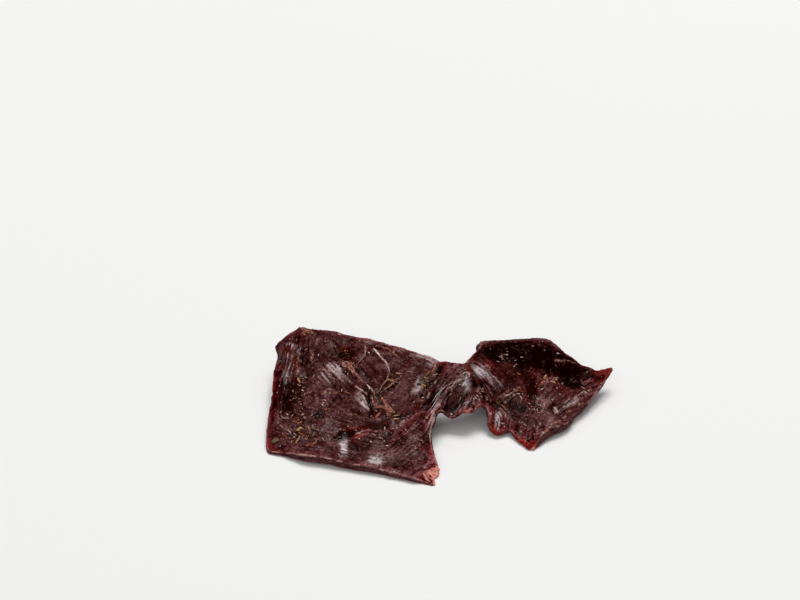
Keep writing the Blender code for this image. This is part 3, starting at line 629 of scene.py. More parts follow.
def makeSkin():
    piece = slicePiece
    mesh = denseCopy(meatNode)
    verts, edges = meshArrays(mesh)
    toRim = distanceTo(verts, cutRim(meatNode))
    verts = relaxed(verts, edges, 1)
    verts = relaxed(verts, edges, piece["smoothing"], keep=toRim < piece["rimKept"])
    normals = vertexNormals(mesh, verts)

    # level the solid's flakes, because the herbs are pieces of their own
    covered = nearFlakes(verts) & (normals[:, 2] > -0.1)
    verts = relaxed(verts, edges, piece["levelling"], keep=~covered)
    normals = vertexNormals(mesh, verts)
    thickness = sheetThickness(mesh, verts, normals)
    toEdge = distanceTo(verts, verts[(np.abs(normals[:, 2]) < 0.5) & (thickness > piece["edgeReach"])])
    print("skin has", len(verts), "points and", sum(len(p.vertices) - 2 for p in mesh.polygons), "triangles")

    drawn = verts[:, :2] + drawingMiddle
    wander = np.column_stack([layeredNoise(verts, piece["wanderSize"], seed) for seed in (11, 12)])
    above = smoothStep(-0.2, 0.3, normals[:, 2])
    masks = patchMasks(drawn + piece["patchWander"] * wander)
    masks["fleck"] *= smoothStep(-0.05, 0.5, layeredNoise(verts, piece["fleckBreakSize"], 91))
    uneven = 1 + piece["seamUnevenness"] * latticeNoise(verts, piece["seamUnevenSize"], 31)
    lift, tints = seamRelief(drawn + piece["seamWander"] * wander, uneven)
    lift *= above

    fibres = np.where(normals[:, 2] > 0, fibreNoise(drawn, 5), fibreNoise(drawn, 6))
    swayed = verts + 0.5 * np.column_stack([wander, wander[:, 0]])
    wrinkles = np.abs(layeredNoise(swayed, piece["wrinkleSize"], 41))
    pits = smoothStep(0.45, 0.8, latticeNoise(verts, piece["pitSize"], 61))
    lift += piece["fibreDepth"] * fibres * (0.5 + masks["streak"] + 1.6 * masks["torn"])
    lift -= piece["wrinkleDepth"] * (0.35 - wrinkles)
    lift += piece["lumpDepth"] * layeredNoise(verts, piece["lumpSize"], 51, layers=2)
    lift -= piece["pitDepth"] * pits
    ragged = bell(toEdge, piece["ragWidth"]) * (0.15 + masks["torn"] + 0.5 * masks["red"])
    lift += piece["ragDepth"] * ragged * layeredNoise(verts, piece["ragSize"], 71)
    broken = np.clip(0.55 + 0.9 * latticeNoise(verts, piece["rimBreakSize"], 81), 0, 1)
    rim = bell(toRim, piece["rimWidth"])
    lift += piece["rimLift"] * rim * broken

    # the relief goes along the normals, spares what lies on the table and stays in the solid's box
    free = 1 - smoothStep(piece["tableTop"], piece["tableBottom"], verts[:, 2])
    verts = relaxed(verts + normals * (lift * free)[:, None], edges, 1, share=0.2)
    verts[:, 2] = np.maximum(verts[:, 2], 0)
    verts = np.clip(verts, np.array(cadBox[0]) / mm, np.array(cadBox[1]) / mm)

    # how far each point stands out from its near and its wider surroundings
    shapeNormals = vertexNormals(mesh, verts)
    bulge = -np.einsum("ij,ij->i", relaxed(verts, edges, 1, share=1.0) - verts, shapeNormals)
    bulge = relaxed(bulge[:, None], edges, 2)[:, 0]
    dome = np.einsum("ij,ij->i", verts - relaxed(verts, edges, piece["domeRounds"]), shapeNormals)
    mesh.vertices.foreach_set("co", (verts * mm).ravel())
    mesh.update()
    tilt = relaxed(normals[:, 2:], edges, 2)[:, 0]
    side = smoothStep(0.68, 0.5, tilt) * smoothStep(-0.7, -0.45, tilt) * smoothStep(3.4, 2.4, toRim)
    # what the material and the scattered bits read
    attributes = {
        "above": above,
        "thin": smoothStep(piece["thickest"], piece["thinnest"], thickness) * smoothStep(7.0, 1.0, toEdge),
        "nearRim": bell(toEdge, 2.2),
        "fibres": np.clip(0.5 + 0.2 * fibres, 0, 1),
        "red": masks["red"] * (1 - 0.8 * masks["wetAndPaintedSheen"]),
        "rimLine": rim ** 2 * smoothStep(0.2, 0.7, broken) * (1 - masks["band"]) * (1 - masks["glow"]),
        "side": np.maximum(side, masks["band"] * above),
        "dome": np.clip(0.5 + dome / piece["domeHeight"], 0, 1),
        "ridge": smoothStep(piece["bulgeLow"], piece["bulgeHigh"], bulge),
        "hollow": smoothStep(piece["bulgeLow"], piece["bulgeHigh"], -bulge),
        "wetAndPaintedSheen": masks["wetAndPaintedSheen"] * above,
        "olive": masks["olive"] * above,
        "amber": masks["amber"] * above,
    }
    attributes.update({kind: masks[kind] for kind in ("torn", "deep", "dry", "streak", "glow")})
    attributes.update({kind + "Bed": masks[kind] * above for kind in ("herb", "crumb", "fleck")})
    attributes.update({tint + "Seam": strength * above for tint, strength in tints.items()})
    for name, values in attributes.items():
        layer = mesh.attributes.new(name, "FLOAT", "POINT")
        layer.data.foreach_set("value", values.astype(np.float32))
    mesh.shade_smooth()
    return newObject("elkMeatSkin", mesh)


# Dry-cured muscle: salted, pressed and air-dried, so the face is dark, leathery and slightly greasy;
# thin edges let light through and go crimson, torn ends show paler fibres.
meatFinish = {
    # from the face's darkest hollows to its palest ridges, and the same for crimson flesh
    "faceStops": [(0.0, "#0d0000"), (0.07, "#1e0303"), (0.14, "#2e0b0a"), (0.22, "#3e1918"),
                  (0.31, "#4c2727"), (0.40, "#603a3b"), (0.54, "#795355"), (0.74, "#9a7878"),
                  (1.0, "#cbacaa")],
    "redStops": [(0.0, "#160001"), (0.14, "#3c0408"), (0.30, "#6c0a10"), (0.50, "#94161c"), (0.80, "#c0484c"),
                 (1.0, "#dba3a3")],
    "hexes": {"side": "#64393a", "sideDark": "#2e1011", "amber": "#3c120a", "grease": "#dad3d5",
              "glow": "#8c1410", "glowPale": "#c24a2c", "net": "#b99a8f", "rim": "#d6b0a2", "torn": "#ffa492",
              "pale": "#e2c6bb", "tan": "#b47862", "rust": "#5a1a0d", "olive": "#101513", "gold": "#7a5030",
              "crack": "#0a0203"},
    "meanTone": 0.46,
    # patterns of noise: size in mm, detail, roughness, distortion; the real grain is too fine to show,
    # so it is drawn this coarse
    "noises": {"broad": (8.0, 3.0, 0.55, 0.0), "middle": (2.2, 4.0, 0.55, 0.0), "fine": (0.8, 3.0, 0.65, 0.0),
               "grain": (0.5, 2.0, 0.6, 0.0), "ripple": (1.4, 3.0, 0.6, 0.8)},
    "creaseSize": 1.8,
    "sideGrainSize": 1.1,
    # round spots in some cells of a pattern: size of a cell in mm, radius in cells, where the choice starts
    "spots": {"pale": (1.0, 0.15, 0.86), "dark": (0.9, 0.22, 0.75)},
    # nets of connective tissue: size of a mesh in mm, strength, half width in meshes
    "nets": [(3.2, 0.7, 0.03), (1.5, 0.7, 0.05)],
    "netWarp": 2.4,
    "netWarpSize": 2.0,
    # relief too fine for the mesh: pattern, depth in mm
    "bumps": [("grain", 0.08), ("ripple", 0.18), ("creases", 0.10)],
}
mixing = {"data_type": "RGBA", "blend_type": "MIX", "clamp_factor": True}


def meatMaterial():
    material, tree = newMaterial("dryCuredMuscle")
    place = addNode(tree, "ShaderNodeTexCoord").outputs["Object"]
    hexes = {name: linear(value) for name, value in meatFinish["hexes"].items()}
    noise = {}
    for name, (size, detail, roughness, distortion) in meatFinish["noises"].items():
        noise[name] = addNode(tree, "ShaderNodeTexNoise", None, {
            "Vector": place, "Scale": 1 / (size * mm), "Detail": detail, "Roughness": roughness,
            "Distortion": distortion}).outputs["Fac"]
    # sharp little creases where the surface shrank as it dried
    noise["creases"] = addNode(tree, "ShaderNodeTexNoise", {"noise_type": "RIDGED_MULTIFRACTAL"}, {
        "Vector": place, "Scale": 1 / (meatFinish["creaseSize"] * mm), "Detail": 3.0, "Roughness": 0.5,
        "Gain": 1.5, "Distortion": 0.5}).outputs["Fac"]
    broad, middle, fine, grain, creases = (noise[k] for k in ("broad", "middle", "fine", "grain", "creases"))
    mask = {}
    for name in ("above", "fibres", "red", "thin", "nearRim", "deep", "dry", "wetAndPaintedSheen", "streak", "dome", "ridge",
                 "hollow", "side", "glow", "amber", "torn", "olive", "rimLine", "crumbBed", "fleckBed",
                 "rustSeam", "tanSeam", "paleSeam", "darkSeam"):
        mask[name] = addNode(tree, "ShaderNodeAttribute", {"attribute_name": name}).outputs["Fac"]
    fibres = mask["fibres"]
    spots = {}
    for name, (size, radius, chosen) in meatFinish["spots"].items():
        cells = addNode(tree, "ShaderNodeTexVoronoi", None, {"Vector": place, "Scale": 1 / (size * mm)})
        choice = addNode(tree, "ShaderNodeSeparateColor", None, {"Color": cells.outputs["Color"]}).outputs[0]
        spots[name] = product(tree, [(cells.outputs["Distance"], radius, radius * 0.5),
                                     (choice, chosen, chosen + 0.03)])

    # how light the face is: each row adds its share, from its pattern between two values and its mask
    tone = meatFinish["meanTone"]
    for factors in (
            [(broad, 0.35, 0.65, -0.06, 0.05)],
            [(middle, 0.3, 0.7, -0.04, 0.04)],
            [(fine, 0.3, 0.7, -0.05, 0.05)],
            [(grain, 0.3, 0.7, -0.08, 0.08)],
            [(fibres, 0.2, 0.8, -0.05, 0.05)],
            # painted shade and highlight: darker in the little creases, lighter on their ridges
            [(creases, 0.5, 1.6, -0.17, 0.19)],
            [(mask["red"], 0.0, 1.0, 0.0, -0.19)],
            # painted shade and light: darker in the face's broad hollows, lighter on its domes
            [(mask["dome"], 0.15, 0.8, -0.24, 0.12)],
            # painted highlight on fine ridges
            [(mask["ridge"], 0.0, 1.0, 0.0, 0.22)],
            # painted shade in fine grooves
            [(mask["hollow"], 0.0, 1.0, 0.0, -0.26)],
            [(fibres, 0.2, 0.8, -0.12, 0.14), mask["streak"]],
            # painted sheen and salt bloom: these patches lighter
            [(fine, 0.3, 0.7, 0.08, 0.17), mask["dry"]],
            # painted shade: these patches darker
            [(fine, 0.3, 0.7, -0.52, -0.36), mask["deep"]],
            # painted sheen: the greasy patches lighter
            [(fibres, 0.2, 0.8, 0.12, 0.44), mask["wetAndPaintedSheen"]],
            # pale specks, partly painted glints
            [(spots["pale"], 0.0, 1.0, 0.0, 0.55)],
            [(spots["dark"], 0.0, 1.0, 0.0, -0.20)]):
        tone = addNode(tree, "ShaderNodeMath", {"operation": "ADD"}, {
            0: tone, 1: product(tree, factors)}).outputs[0]
    flesh = {}
    for name in ("faceStops", "redStops"):
        node = addNode(tree, "ShaderNodeValToRGB", None, {"Fac": tone})
        elements = node.color_ramp.elements
        while len(elements) < len(meatFinish[name]):
            elements.new(0.5)
        for element, (position, hexColour) in zip(elements, meatFinish[name]):
            element.position = position
            element.color = linear(hexColour)
        flesh[name] = node.outputs["Color"]

    # masks made of others: how red the flesh is, where it isn't, where the net shows, how greasy it is
    made = {}
    for name, operation, first, second in (
            ("thinRed", "MAXIMUM", [mask["red"]], [mask["thin"]]),
            ("notRed", "SUBTRACT", [1.0], [mask["red"]]),
            ("netBeds", "MAXIMUM", [mask["fleckBed"]], [0.08]),
            ("greasy", "MAXIMUM", [mask["wetAndPaintedSheen"]], [(broad, 0.4, 0.6, 0.18, 0.60)])):
        made[name] = addNode(tree, "ShaderNodeMath", {"operation": operation}, {
            0: product(tree, first), 1: product(tree, second)}).outputs[0]
    red = addNode(tree, "ShaderNodeMath", {"operation": "MAXIMUM"}, {
        0: made["thinRed"], 1: product(tree, [mask["nearRim"], 0.25])}).outputs[0]

    # the cut side has its grain lengthwise, and light comes through the flesh in two reds
    sideways = addNode(tree, "ShaderNodeMapping", None, {
        "Vector": place, "Scale": (0.5, 0.5, 3.0)}).outputs[0]
    sideGrain = addNode(tree, "ShaderNodeTexNoise", None, {
        "Vector": sideways, "Scale": 1 / (meatFinish["sideGrainSize"] * mm), "Detail": 3.0, "Roughness": 0.55,
        "Distortion": 0.0}).outputs["Fac"]
    blend = {}
    for name, factor, first, second in (("side", (sideGrain, 0.4, 0.6), "sideDark", "side"),
                                        ("glow", (fine, 0.48, 0.62), "glow", "glowPale")):
        blend[name] = addNode(tree, "ShaderNodeMix", mixing, {
            0: product(tree, [factor]), 6: hexes[first], 7: hexes[second]}).outputs[2]

    # thin lines of connective tissue, bent and broken up
    warp = addNode(tree, "ShaderNodeTexNoise", None, {
        "Vector": place, "Scale": 1 / (meatFinish["netWarpSize"] * mm), "Detail": 2.0}).outputs["Color"]
    bent = addNode(tree, "ShaderNodeVectorMath", {"operation": "MULTIPLY_ADD"}, {
        0: warp, 1: (meatFinish["netWarp"] * mm,) * 3, 2: place}).outputs[0]
    nets = []
    for size, strength, halfWidth in meatFinish["nets"]:
        gap = addNode(tree, "ShaderNodeTexVoronoi", {"feature": "DISTANCE_TO_EDGE"}, {
            "Vector": bent, "Scale": 1 / (size * mm)}).outputs["Distance"]
        nets.append((hexes["net"], [mask["above"], (gap, halfWidth, halfWidth * 0.3, 0.0, strength),
                                    (middle, 0.5, 0.6), made["netBeds"]]))

    # what covers the face, from the lowest layer up: colour, and the factors of its share
    layers = [
        (flesh["redStops"], [red, (middle, 0.3, 0.6, 0.6, 1.0)]),
        # painted sheen: the greasy patches are painted grey, as if holding the light of the room
        (hexes["grease"], [mask["wetAndPaintedSheen"], (fibres, 0.35, 0.65, 0.15, 1.0), (fine, 0.40, 0.50, 0.35, 1.0),
                           (creases, 0.5, 1.2, 0.7, 1.0)]),
        *nets,
        (blend["glow"], [mask["glow"], (fine, 0.35, 0.6, 0.35, 1.0), (creases, 0.4, 1.2, 0.5, 1.0)]),
        (hexes["amber"], [mask["amber"], (tone, 0.1, 0.45, 0.75, 0.1), (fine, 0.35, 0.6, 0.4, 1.0)]),
        (blend["side"], [mask["side"], made["notRed"], 0.9]),
        (hexes["gold"], [mask["crumbBed"], (fine, 0.55, 0.64, 0.0, 0.5)]),
        (hexes["rust"], [mask["rustSeam"], (fine, 0.3, 0.5, 0.0, 0.9)]),
        (hexes["tan"], [mask["tanSeam"], (fine, 0.42, 0.56, 0.0, 0.9)]),
        (hexes["pale"], [mask["paleSeam"], (fine, 0.38, 0.5, 0.0, 0.95)]),
        (hexes["rim"], [mask["rimLine"], (fine, 0.35, 0.52, 0.0, 0.95), made["notRed"]]),
        (hexes["torn"], [mask["torn"], (fine, 0.25, 0.5)]),
        (hexes["olive"], [mask["olive"], (fine, 0.34, 0.48, 0.0, 0.95)]),
        # painted shade: near black in cracks, pits and pockets
        (hexes["crack"], [mask["darkSeam"], (fine, 0.1, 0.3)]),
    ]
    colour = flesh["faceStops"]
    for over, factors in layers:
        colour = addNode(tree, "ShaderNodeMix", mixing, {
            0: product(tree, factors), 6: colour, 7: over}).outputs[2]

    gloss = product(tree, [(middle, 0.3, 0.7, 0.30, 0.55)])
    grease = product(tree, [made["greasy"], (fine, 0.38, 0.58, 0.1, 1.0), (fibres, 0.2, 0.7, 0.5, 1.0),
                            (mask["deep"], 0.0, 0.8, 1.0, 0.03), (mask["red"], 0.0, 1.0, 1.0, 0.4),
                            (creases, 0.5, 1.4, 0.4, 1.0)])
    below = {}
    for name, depth in meatFinish["bumps"]:
        bump = addNode(tree, "ShaderNodeBump", None, {
            "Strength": 1.0, "Distance": depth * mm, "Height": noise[name], **below})
        below = {"Normal": bump.outputs[0]}
    shader = addNode(tree, "ShaderNodeBsdfPrincipled", None, {
        "Base Color": colour, "Roughness": gloss, "IOR": 1.45, "Specular IOR Level": 0.0,
        "Subsurface Weight": 0.1, "Subsurface Radius": (1.0, 0.16, 0.1), "Subsurface Scale": 0.5 * mm,
        "Coat Weight": grease, "Coat Roughness": 0.12, "Coat IOR": 1.5, **below})
    addNode(tree, "ShaderNodeOutputMaterial", None, {"Surface": shader.outputs[0]})
    return material


skin = makeSkin()
skin.data.materials.append(meatMaterial())
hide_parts("meat_slice")
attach(skin, "root")
print("skin of the slice")


# What lies on the slice: dried herbs, pepper, crumbs of spice and threads of connective tissue

skinFaces = [tuple(p.vertices) for p in skin.data.polygons]
skinTree = BVHTree.FromPolygons([v.co / mm for v in skin.data.vertices], skinFaces)


def onSkin(x, y):
    return skinTree.ray_cast(Vector((x, y, 60)), Vector((0, 0, -1)))[0]


def skinNormal(x, y, reach):
    # from points of the face all round
    turns = [k * math.pi / 4 for k in range(8)]
    ring = [onSkin(x + reach * math.cos(turn), y + reach * math.sin(turn)) for turn in turns]
    if any(p is None for p in ring):
        return Vector((0, 0, 1))
    return (ring[0] - ring[4]).cross(ring[2] - ring[6]).normalized()


def tubeParts(spine, widths, heights, frames, sides):
    verts, faces = [], []
    for centre, width, height, (across, up) in zip(spine, widths, heights, frames):
        for k in range(sides):
            turn = math.tau * (k + 0.5) / sides
            verts.append(centre + across * (width / 2 * math.cos(turn)) + up * (height / 2 * math.sin(turn)))
    for i in range(len(spine) - 1):
        for k in range(sides):
            a, b = i * sides + k, i * sides + (k + 1) % sides
            faces.append((a, b, b + sides, a + sides))
    faces.append(tuple(range(sides))[::-1])
    faces.append(tuple((len(spine) - 1) * sides + k for k in range(sides)))
    return verts, faces


def framesAlong(spine, normals):
    ends = [spine[0], *spine, spine[-1]]
    return [((after - before).cross(normal).normalized(), normal)
            for before, after, normal in zip(ends, ends[2:], normals)]


def chipParts(length, width, height, bend, stations, sides, rng):
    # one irregular splinter along x, arched by bend and slightly twisted
    spine, widths, heights, frames = [], [], [], []
    sway, twist = rng.uniform(-0.12, 0.12), rng.uniform(-0.5, 0.5)
    for i in range(stations):
        t = i / (stations - 1) * 2 - 1
        full = max((1 - abs(t) ** 4) ** 0.5, 0.5)
        widths.append(width * full * rng.uniform(0.75, 1.15))
        heights.append(height * full * rng.uniform(0.8, 1.2))
        spine.append(Vector((t * length / 2, sway * length * t * t, bend * length * (1 - t * t))))
        across = Vector((0, math.cos(twist * t), math.sin(twist * t)))
        frames.append((across, across.cross(Vector((-1, 0, 0)))))
    return tubeParts(spine, widths, heights, frames, sides)


def layChip(place, turn, size, bend, reach, stations, rng):
    # a chip laid on the face at a place in plan, tilted as the face is there
    lift, sides = 0.12, 4
    centre = onSkin(*place)
    if centre is None:
        return None
    normal = skinNormal(*place, reach)
    along = Vector((math.cos(turn), math.sin(turn), 0))
    along = (along - normal * along.dot(normal)).normalized()
    across = normal.cross(along)
    verts, faces = chipParts(*size, bend, stations, sides, rng)
    base = centre + normal * lift
    return [base + along * v.x + across * v.y + normal * v.z for v in verts], faces


def meshFromParts(name, parts):
    # each part is its points, its faces and its shade
    verts, faces, tones = [], [], []
    for (partVerts, partFaces), shade in parts:
        faces.extend(tuple(k + len(verts) for k in face) for face in partFaces)
        verts.extend(v * mm for v in partVerts)
        tones.extend([shade] * len(partVerts))
    mesh = bpy.data.meshes.new(name)
    mesh.from_pydata([tuple(v) for v in verts], [], faces)
    bm = bmesh.new()
    bm.from_mesh(mesh)
    bmesh.ops.recalc_face_normals(bm, faces=bm.faces)
    bm.to_mesh(mesh)
    bm.free()
    layer = mesh.attributes.new("shade", "FLOAT", "POINT")
    layer.data.foreach_set("value", np.array(tones, np.float32))
    return mesh


def bitMaterial(name, hexes, roughness, coat):
    # each bit has its own tone, from the first colour to the last, with fine darker spots
    material, tree = newMaterial(name)
    place = addNode(tree, "ShaderNodeTexCoord").outputs["Object"]
    shade = addNode(tree, "ShaderNodeAttribute", {"attribute_name": "shade"}).outputs["Fac"]
    spotSize, spotHex, spotDepth = 0.5, "#1c0d08", 0.06
    spots = addNode(tree, "ShaderNodeTexNoise", None, {
        "Vector": place, "Scale": 1 / (spotSize * mm), "Detail": 2.0, "Roughness": 0.6}).outputs["Fac"]
    last = len(hexes) - 1
    layers = [(hexColour, (shade, i / last, (i + 1) / last)) for i, hexColour in enumerate(hexes[1:])]
    colour = linear(hexes[0])
    for hexColour, factor in [*layers, (spotHex, (spots, 0.35, 0.6, 0.5, 0.0))]:
        colour = addNode(tree, "ShaderNodeMix", mixing, {
            0: product(tree, [factor]), 6: colour, 7: linear(hexColour)}).outputs[2]
    bump = addNode(tree, "ShaderNodeBump", None, {
        "Strength": 0.6, "Distance": spotDepth * mm, "Height": spots})
    shader = addNode(tree, "ShaderNodeBsdfPrincipled", None, {
        "Base Color": colour, "Roughness": roughness, "IOR": 1.45, "Specular IOR Level": 0.15,
        "Coat Weight": coat, "Coat Roughness": 0.3, "Normal": bump.outputs[0]})
    addNode(tree, "ShaderNodeOutputMaterial", None, {"Surface": shader.outputs[0]})
    return material


def addPiece(name, mesh, material):
    piece = newObject(name, mesh)
    mesh.materials.clear()
    mesh.materials.append(material)
    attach(piece, "root")
    print(name, len(mesh.polygons), "faces")


def herbFlakes():
    parts = []
    rng = np.random.default_rng(21)
    for place, length, width, turn in flakePlaces():
        chip = layChip(place, turn, (length, width, flakePiece["thickness"]), rng.uniform(0.03, 0.12),
                       flakePiece["footing"], flakePiece["stations"], rng)
        parts.append((chip, float(rng.uniform())))
    return parts


# Bits that stand out
bitPiece = {
    "thickness": 0.45,    # share of the width
    "thinnest": 0.2,
    "bend": 0.08,         # the most, as a share of the length
    "footing": 0.8,       # the least reach of the face that gives a bit its tilt
    "stations": 6,
    "tones": {"dark": "#1a0e09", "rust": "#7a2a1a", "orange": "#c0674a", "tan": "#bd8c72", "gold": "#cfa272",
              "pale": "#dab8a6", "white": "#ecd6cb", "green": "#6e6148"},
}

# Each in its place: x, y, direction in degrees, length, width
placedBits = {
    "gold": [
        (-46.1, -12.1, 27, 2.5, 1.3), (-15.0, -10.5, 10, 2.4, 0.4), (-14.7, -9.5, 15, 2.2, 0.3),
        (-6.0, 0.0, -30, 2.0, 0.6), (-5.0, 1.8, -25, 1.2, 0.45),
    ],
    "orange": [
        (-42.1, -19.4, 30, 1.6, 0.3), (-50.9, -13.7, -50, 2.0, 0.3), (-46.0, -9.3, 40, 2.2, 0.4),
        (-47.2, -8.5, 35, 1.8, 0.35), (-41.5, -19.0, 20, 1.8, 0.45), (-43.2, -19.2, 45, 2.0, 0.45),
        (-45.5, -14.5, -50, 3.4, 0.35), (-41.2, -17.5, -65, 1.2, 0.3), (-28.0, -9.2, -25, 1.2, 0.35),
        (-45.8, 24.0, -40, 1.0, 0.8), (-31.0, -1.2, -30, 2.8, 0.3), (-38.0, -6.0, 0, 1.1, 0.35),
        (-22.5, -4.5, -65, 2.8, 0.3), (-18.2, -5.5, -65, 3.4, 0.35), (-16.8, -7.8, -45, 2.0, 0.3),
        (34.0, 5.6, 10, 1.4, 0.4), (25.8, 7.5, 0, 1.4, 0.4),
    ],
    "rust": [
        (-18.2, -12.0, -60, 1.4, 0.4), (-22.2, -6.2, -70, 1.6, 0.35), (-47.5, -17.5, -45, 1.4, 0.3),
        (-44.2, 22.8, -45, 0.9, 0.4), (-36.2, -2.5, -60, 1.1, 0.4), (-40.0, -11.0, 30, 1.6, 0.4),
    ],
    "tan": [
        (-40.9, -18.5, 60, 1.5, 0.3), (-43.3, -13.2, -75, 3.4, 0.35), (-52.2, -9.8, -60, 2.8, 0.28),
        (-48.8, -16.5, 60, 1.2, 0.4), (-44.2, -16.5, 0, 1.5, 0.3), (-8.7, -17.5, -60, 1.2, 0.35),
        (-7.0, -17.8, -10, 2.0, 0.28), (-4.8, -10.5, -60, 1.2, 0.7), (-16.5, -8.4, -5, 2.8, 0.3),
        (-47.2, 5.0, -60, 1.2, 0.4), (-43.5, 2.0, 0, 1.0, 0.35), (-14.2, 3.8, -20, 1.7, 0.8),
        (-14.8, 2.2, 20, 1.6, 0.3), (-10.2, 3.2, -15, 2.4, 0.25), (38.3, 8.6, 20, 2.4, 0.25),
        (21.0, -5.2, -90, 1.6, 0.4), (27.5, -8.0, -45, 1.4, 0.5), (30.5, -8.8, -90, 1.4, 0.3),
    ],
    "pale": [
        (-46.3, -15.3, 70, 1.6, 0.25), (-48.0, -13.4, -45, 2.2, 0.25), (-52.3, -9.7, -30, 0.9, 0.25),
        (-41.8, -13.0, -65, 3.0, 0.28), (-49.7, -12.4, -50, 2.4, 0.3), (-38.5, -17.8, -60, 1.8, 0.22),
        (-44.8, -7.8, -70, 1.5, 0.25), (-22.0, -17.2, -20, 1.5, 0.22), (-19.8, -18.0, -30, 1.7, 0.22),
        (-2.0, 3.2, 55, 1.7, 0.3), (-18.2, -7.2, -75, 2.0, 0.25), (33.4, 3.6, 30, 1.3, 0.4),
        (22.0, 1.0, 25, 2.0, 0.35), (37.4, -3.2, -70, 1.8, 0.25), (-6.2, -3.0, 20, 1.0, 0.4),
    ],
    "white": [
        (-52.9, -3.3, 40, 0.8, 0.25), (-52.4, -5.5, -50, 0.9, 0.22), (-51.6, -6.3, 20, 0.7, 0.25),
        (-53.6, -7.7, 80, 0.8, 0.22), (8.0, -4.0, 20, 1.3, 0.25), (10.6, -4.2, -40, 1.1, 0.22),
        (6.2, -6.2, 60, 1.0, 0.22), (9.8, -6.2, 10, 1.2, 0.2), (12.3, -4.0, -60, 1.1, 0.22),
        (11.4, -2.6, -45, 1.3, 0.2), (13.2, -1.6, -50, 1.0, 0.2), (21.6, 0.9, 30, 1.2, 0.3),
        (-18.5, -14.0, -90, 1.8, 0.3), (48.2, 6.8, -25, 1.6, 0.3), (47.0, 6.3, 40, 1.2, 0.3),
        (26.4, 0.6, -60, 1.4, 0.45), (25.6, 1.9, -20, 1.2, 0.35), (24.3, 9.5, 60, 1.1, 0.25),
        (27.0, 13.0, 0, 1.0, 0.35), (24.8, 11.8, 45, 0.8, 0.25),
    ],
    "green": [
        (-54.3, -14.9, 25, 2.5, 2.2), (-41.7, -13.4, -42, 2.6, 0.7), (-41.6, -15.6, 60, 2.2, 0.8),
        (48.5, 10.0, 25, 1.2, 0.6), (-5.2, 2.6, -45, 0.9, 0.5), (-5.4, 0.6, 80, 1.6, 0.45),
        (-3.6, 2.8, 60, 1.2, 0.4),
    ],
    "dark": [
        (-44.0, -15.0, -45, 1.6, 0.5), (-49.2, -14.0, -35, 1.8, 0.5), (-45.8, -17.2, -45, 2.2, 0.45),
        (-15.8, -9.2, 20, 1.6, 0.45), (-43.0, 12.0, 0, 1.0, 0.5), (-4.0, 3.0, 0, 1.0, 0.6),
        (-20.5, -3.8, -60, 1.8, 0.6), (-47.0, -14.0, 60, 1.8, 0.4),
    ],
}


def driedHerbBits():
    parts = []
    rng = np.random.default_rng(23)
    tones = list(bitPiece["tones"])
    for tone, bits in placedBits.items():
        for x, y, degrees, length, width in bits:
            place = np.array([x, y]) - drawingMiddle
            size = length, width, max(bitPiece["thinnest"], bitPiece["thickness"] * width)
            reach = max(bitPiece["footing"], length / 2)
            chip = layChip(place, math.radians(degrees), size, rng.uniform(0.0, bitPiece["bend"]), reach,
                           bitPiece["stations"], rng)
            parts.append((chip, tones.index(tone) / (len(tones) - 1)))
    return [part for part in parts if part[0] is not None]


# Threads: tone from pale to tan to salmon, radius, height above the face, points in the drawing
threadPiece = {
    "step": 0.45,
    "sides": 6,
    "shake": 0.06,
    "threads": [
        (0.05, 0.25, 0.15, [(-22.4, 14.7), (-21.4, 12.4), (-20.4, 10.6), (-19.9, 10.0)]),
        (0.15, 0.13, 0.1, [(-20.2, 10.2), (-18.4, 8.6), (-17.5, 6.4), (-17.0, 4.6)]),
        (0.1, 0.14, 0.11, [(-24.8, 1.1), (-23.4, -0.6), (-22.2, -1.8)]),
        (0.45, 0.1, 0.1, [(-24.8, 17.2), (-25.3, 15.0), (-25.1, 12.3), (-26.9, 10.3), (-28.2, 8.8)]),
        (0.4, 0.08, 0.08, [(-17.0, 4.6), (-17.9, 2.6), (-19.9, 0.2), (-21.1, -1.9)]),
        (0.5, 0.1, 0.09, [(-13.3, 2.8), (-15.8, 1.4), (-18.5, -0.3), (-20.1, -1.4)]),
        (0.2, 0.14, 0.1, [(-28.2, 0.8), (-26.8, -0.8), (-25.2, -1.6)]),
        (0.75, 0.17, 0.2, [(-32.3, 8.2), (-32.8, 9.4), (-32.0, 10.4), (-30.9, 10.0), (-29.9, 8.7),
            (-28.9, 7.2), (-28.6, 5.4)]),
        (0.55, 0.12, 0.18, [(-32.2, 8.6), (-31.2, 7.6), (-30.4, 8.0), (-30.6, 9.4), (-31.6, 10.4)]),
        (0.85, 0.12, 0.14, [(-30.2, 7.2), (-29.4, 6.2), (-29.2, 4.9)]),
        (0.3, 0.14, 0.18, [(-22.9, -2.9), (-22.4, -5.0), (-21.9, -7.1)]),
        (0.85, 0.15, 0.13, [(-20.2, -2.0), (-19.0, -4.8), (-17.6, -7.4), (-15.6, -9.2)]),
        (0.65, 0.11, 0.11, [(-18.2, -5.9), (-16.6, -7.0), (-15.8, -8.3)]),
        (0.3, 0.09, 0.08, [(37.6, -1.1), (38.1, -2.0), (38.5, -3.1)]),
        (0.35, 0.1, 0.1, [(19.8, -0.2), (21.6, 0.9), (23.6, 2.1), (25.7, 3.2)]),
        (0.1, 0.1, 0.16, [(-3.0, -3.8), (-1.6, -2.0), (0.4, -0.6), (2.1, 0.3)]),
        (0.05, 0.09, 0.16, [(4.0, 1.0), (5.8, 1.6), (7.6, 1.9), (8.6, 2.6)]),
        (0.05, 0.11, 0.15, [(6.8, 3.4), (8.1, 4.4), (9.3, 3.4), (9.1, 2.4)]),
        (0.25, 0.09, 0.12, [(-4.2, -12.2), (-2.6, -9.2), (-1.0, -6.6)]),
        (0.2, 0.08, 0.1, [(-4.3, -7.8), (-2.3, -4.3), (-0.6, -2.2)]),
        (0.4, 0.09, 0.1, [(-3.9, -17.6), (-3.7, -15.0), (-2.9, -12.2), (-1.6, -9.8)]),
    ],
}


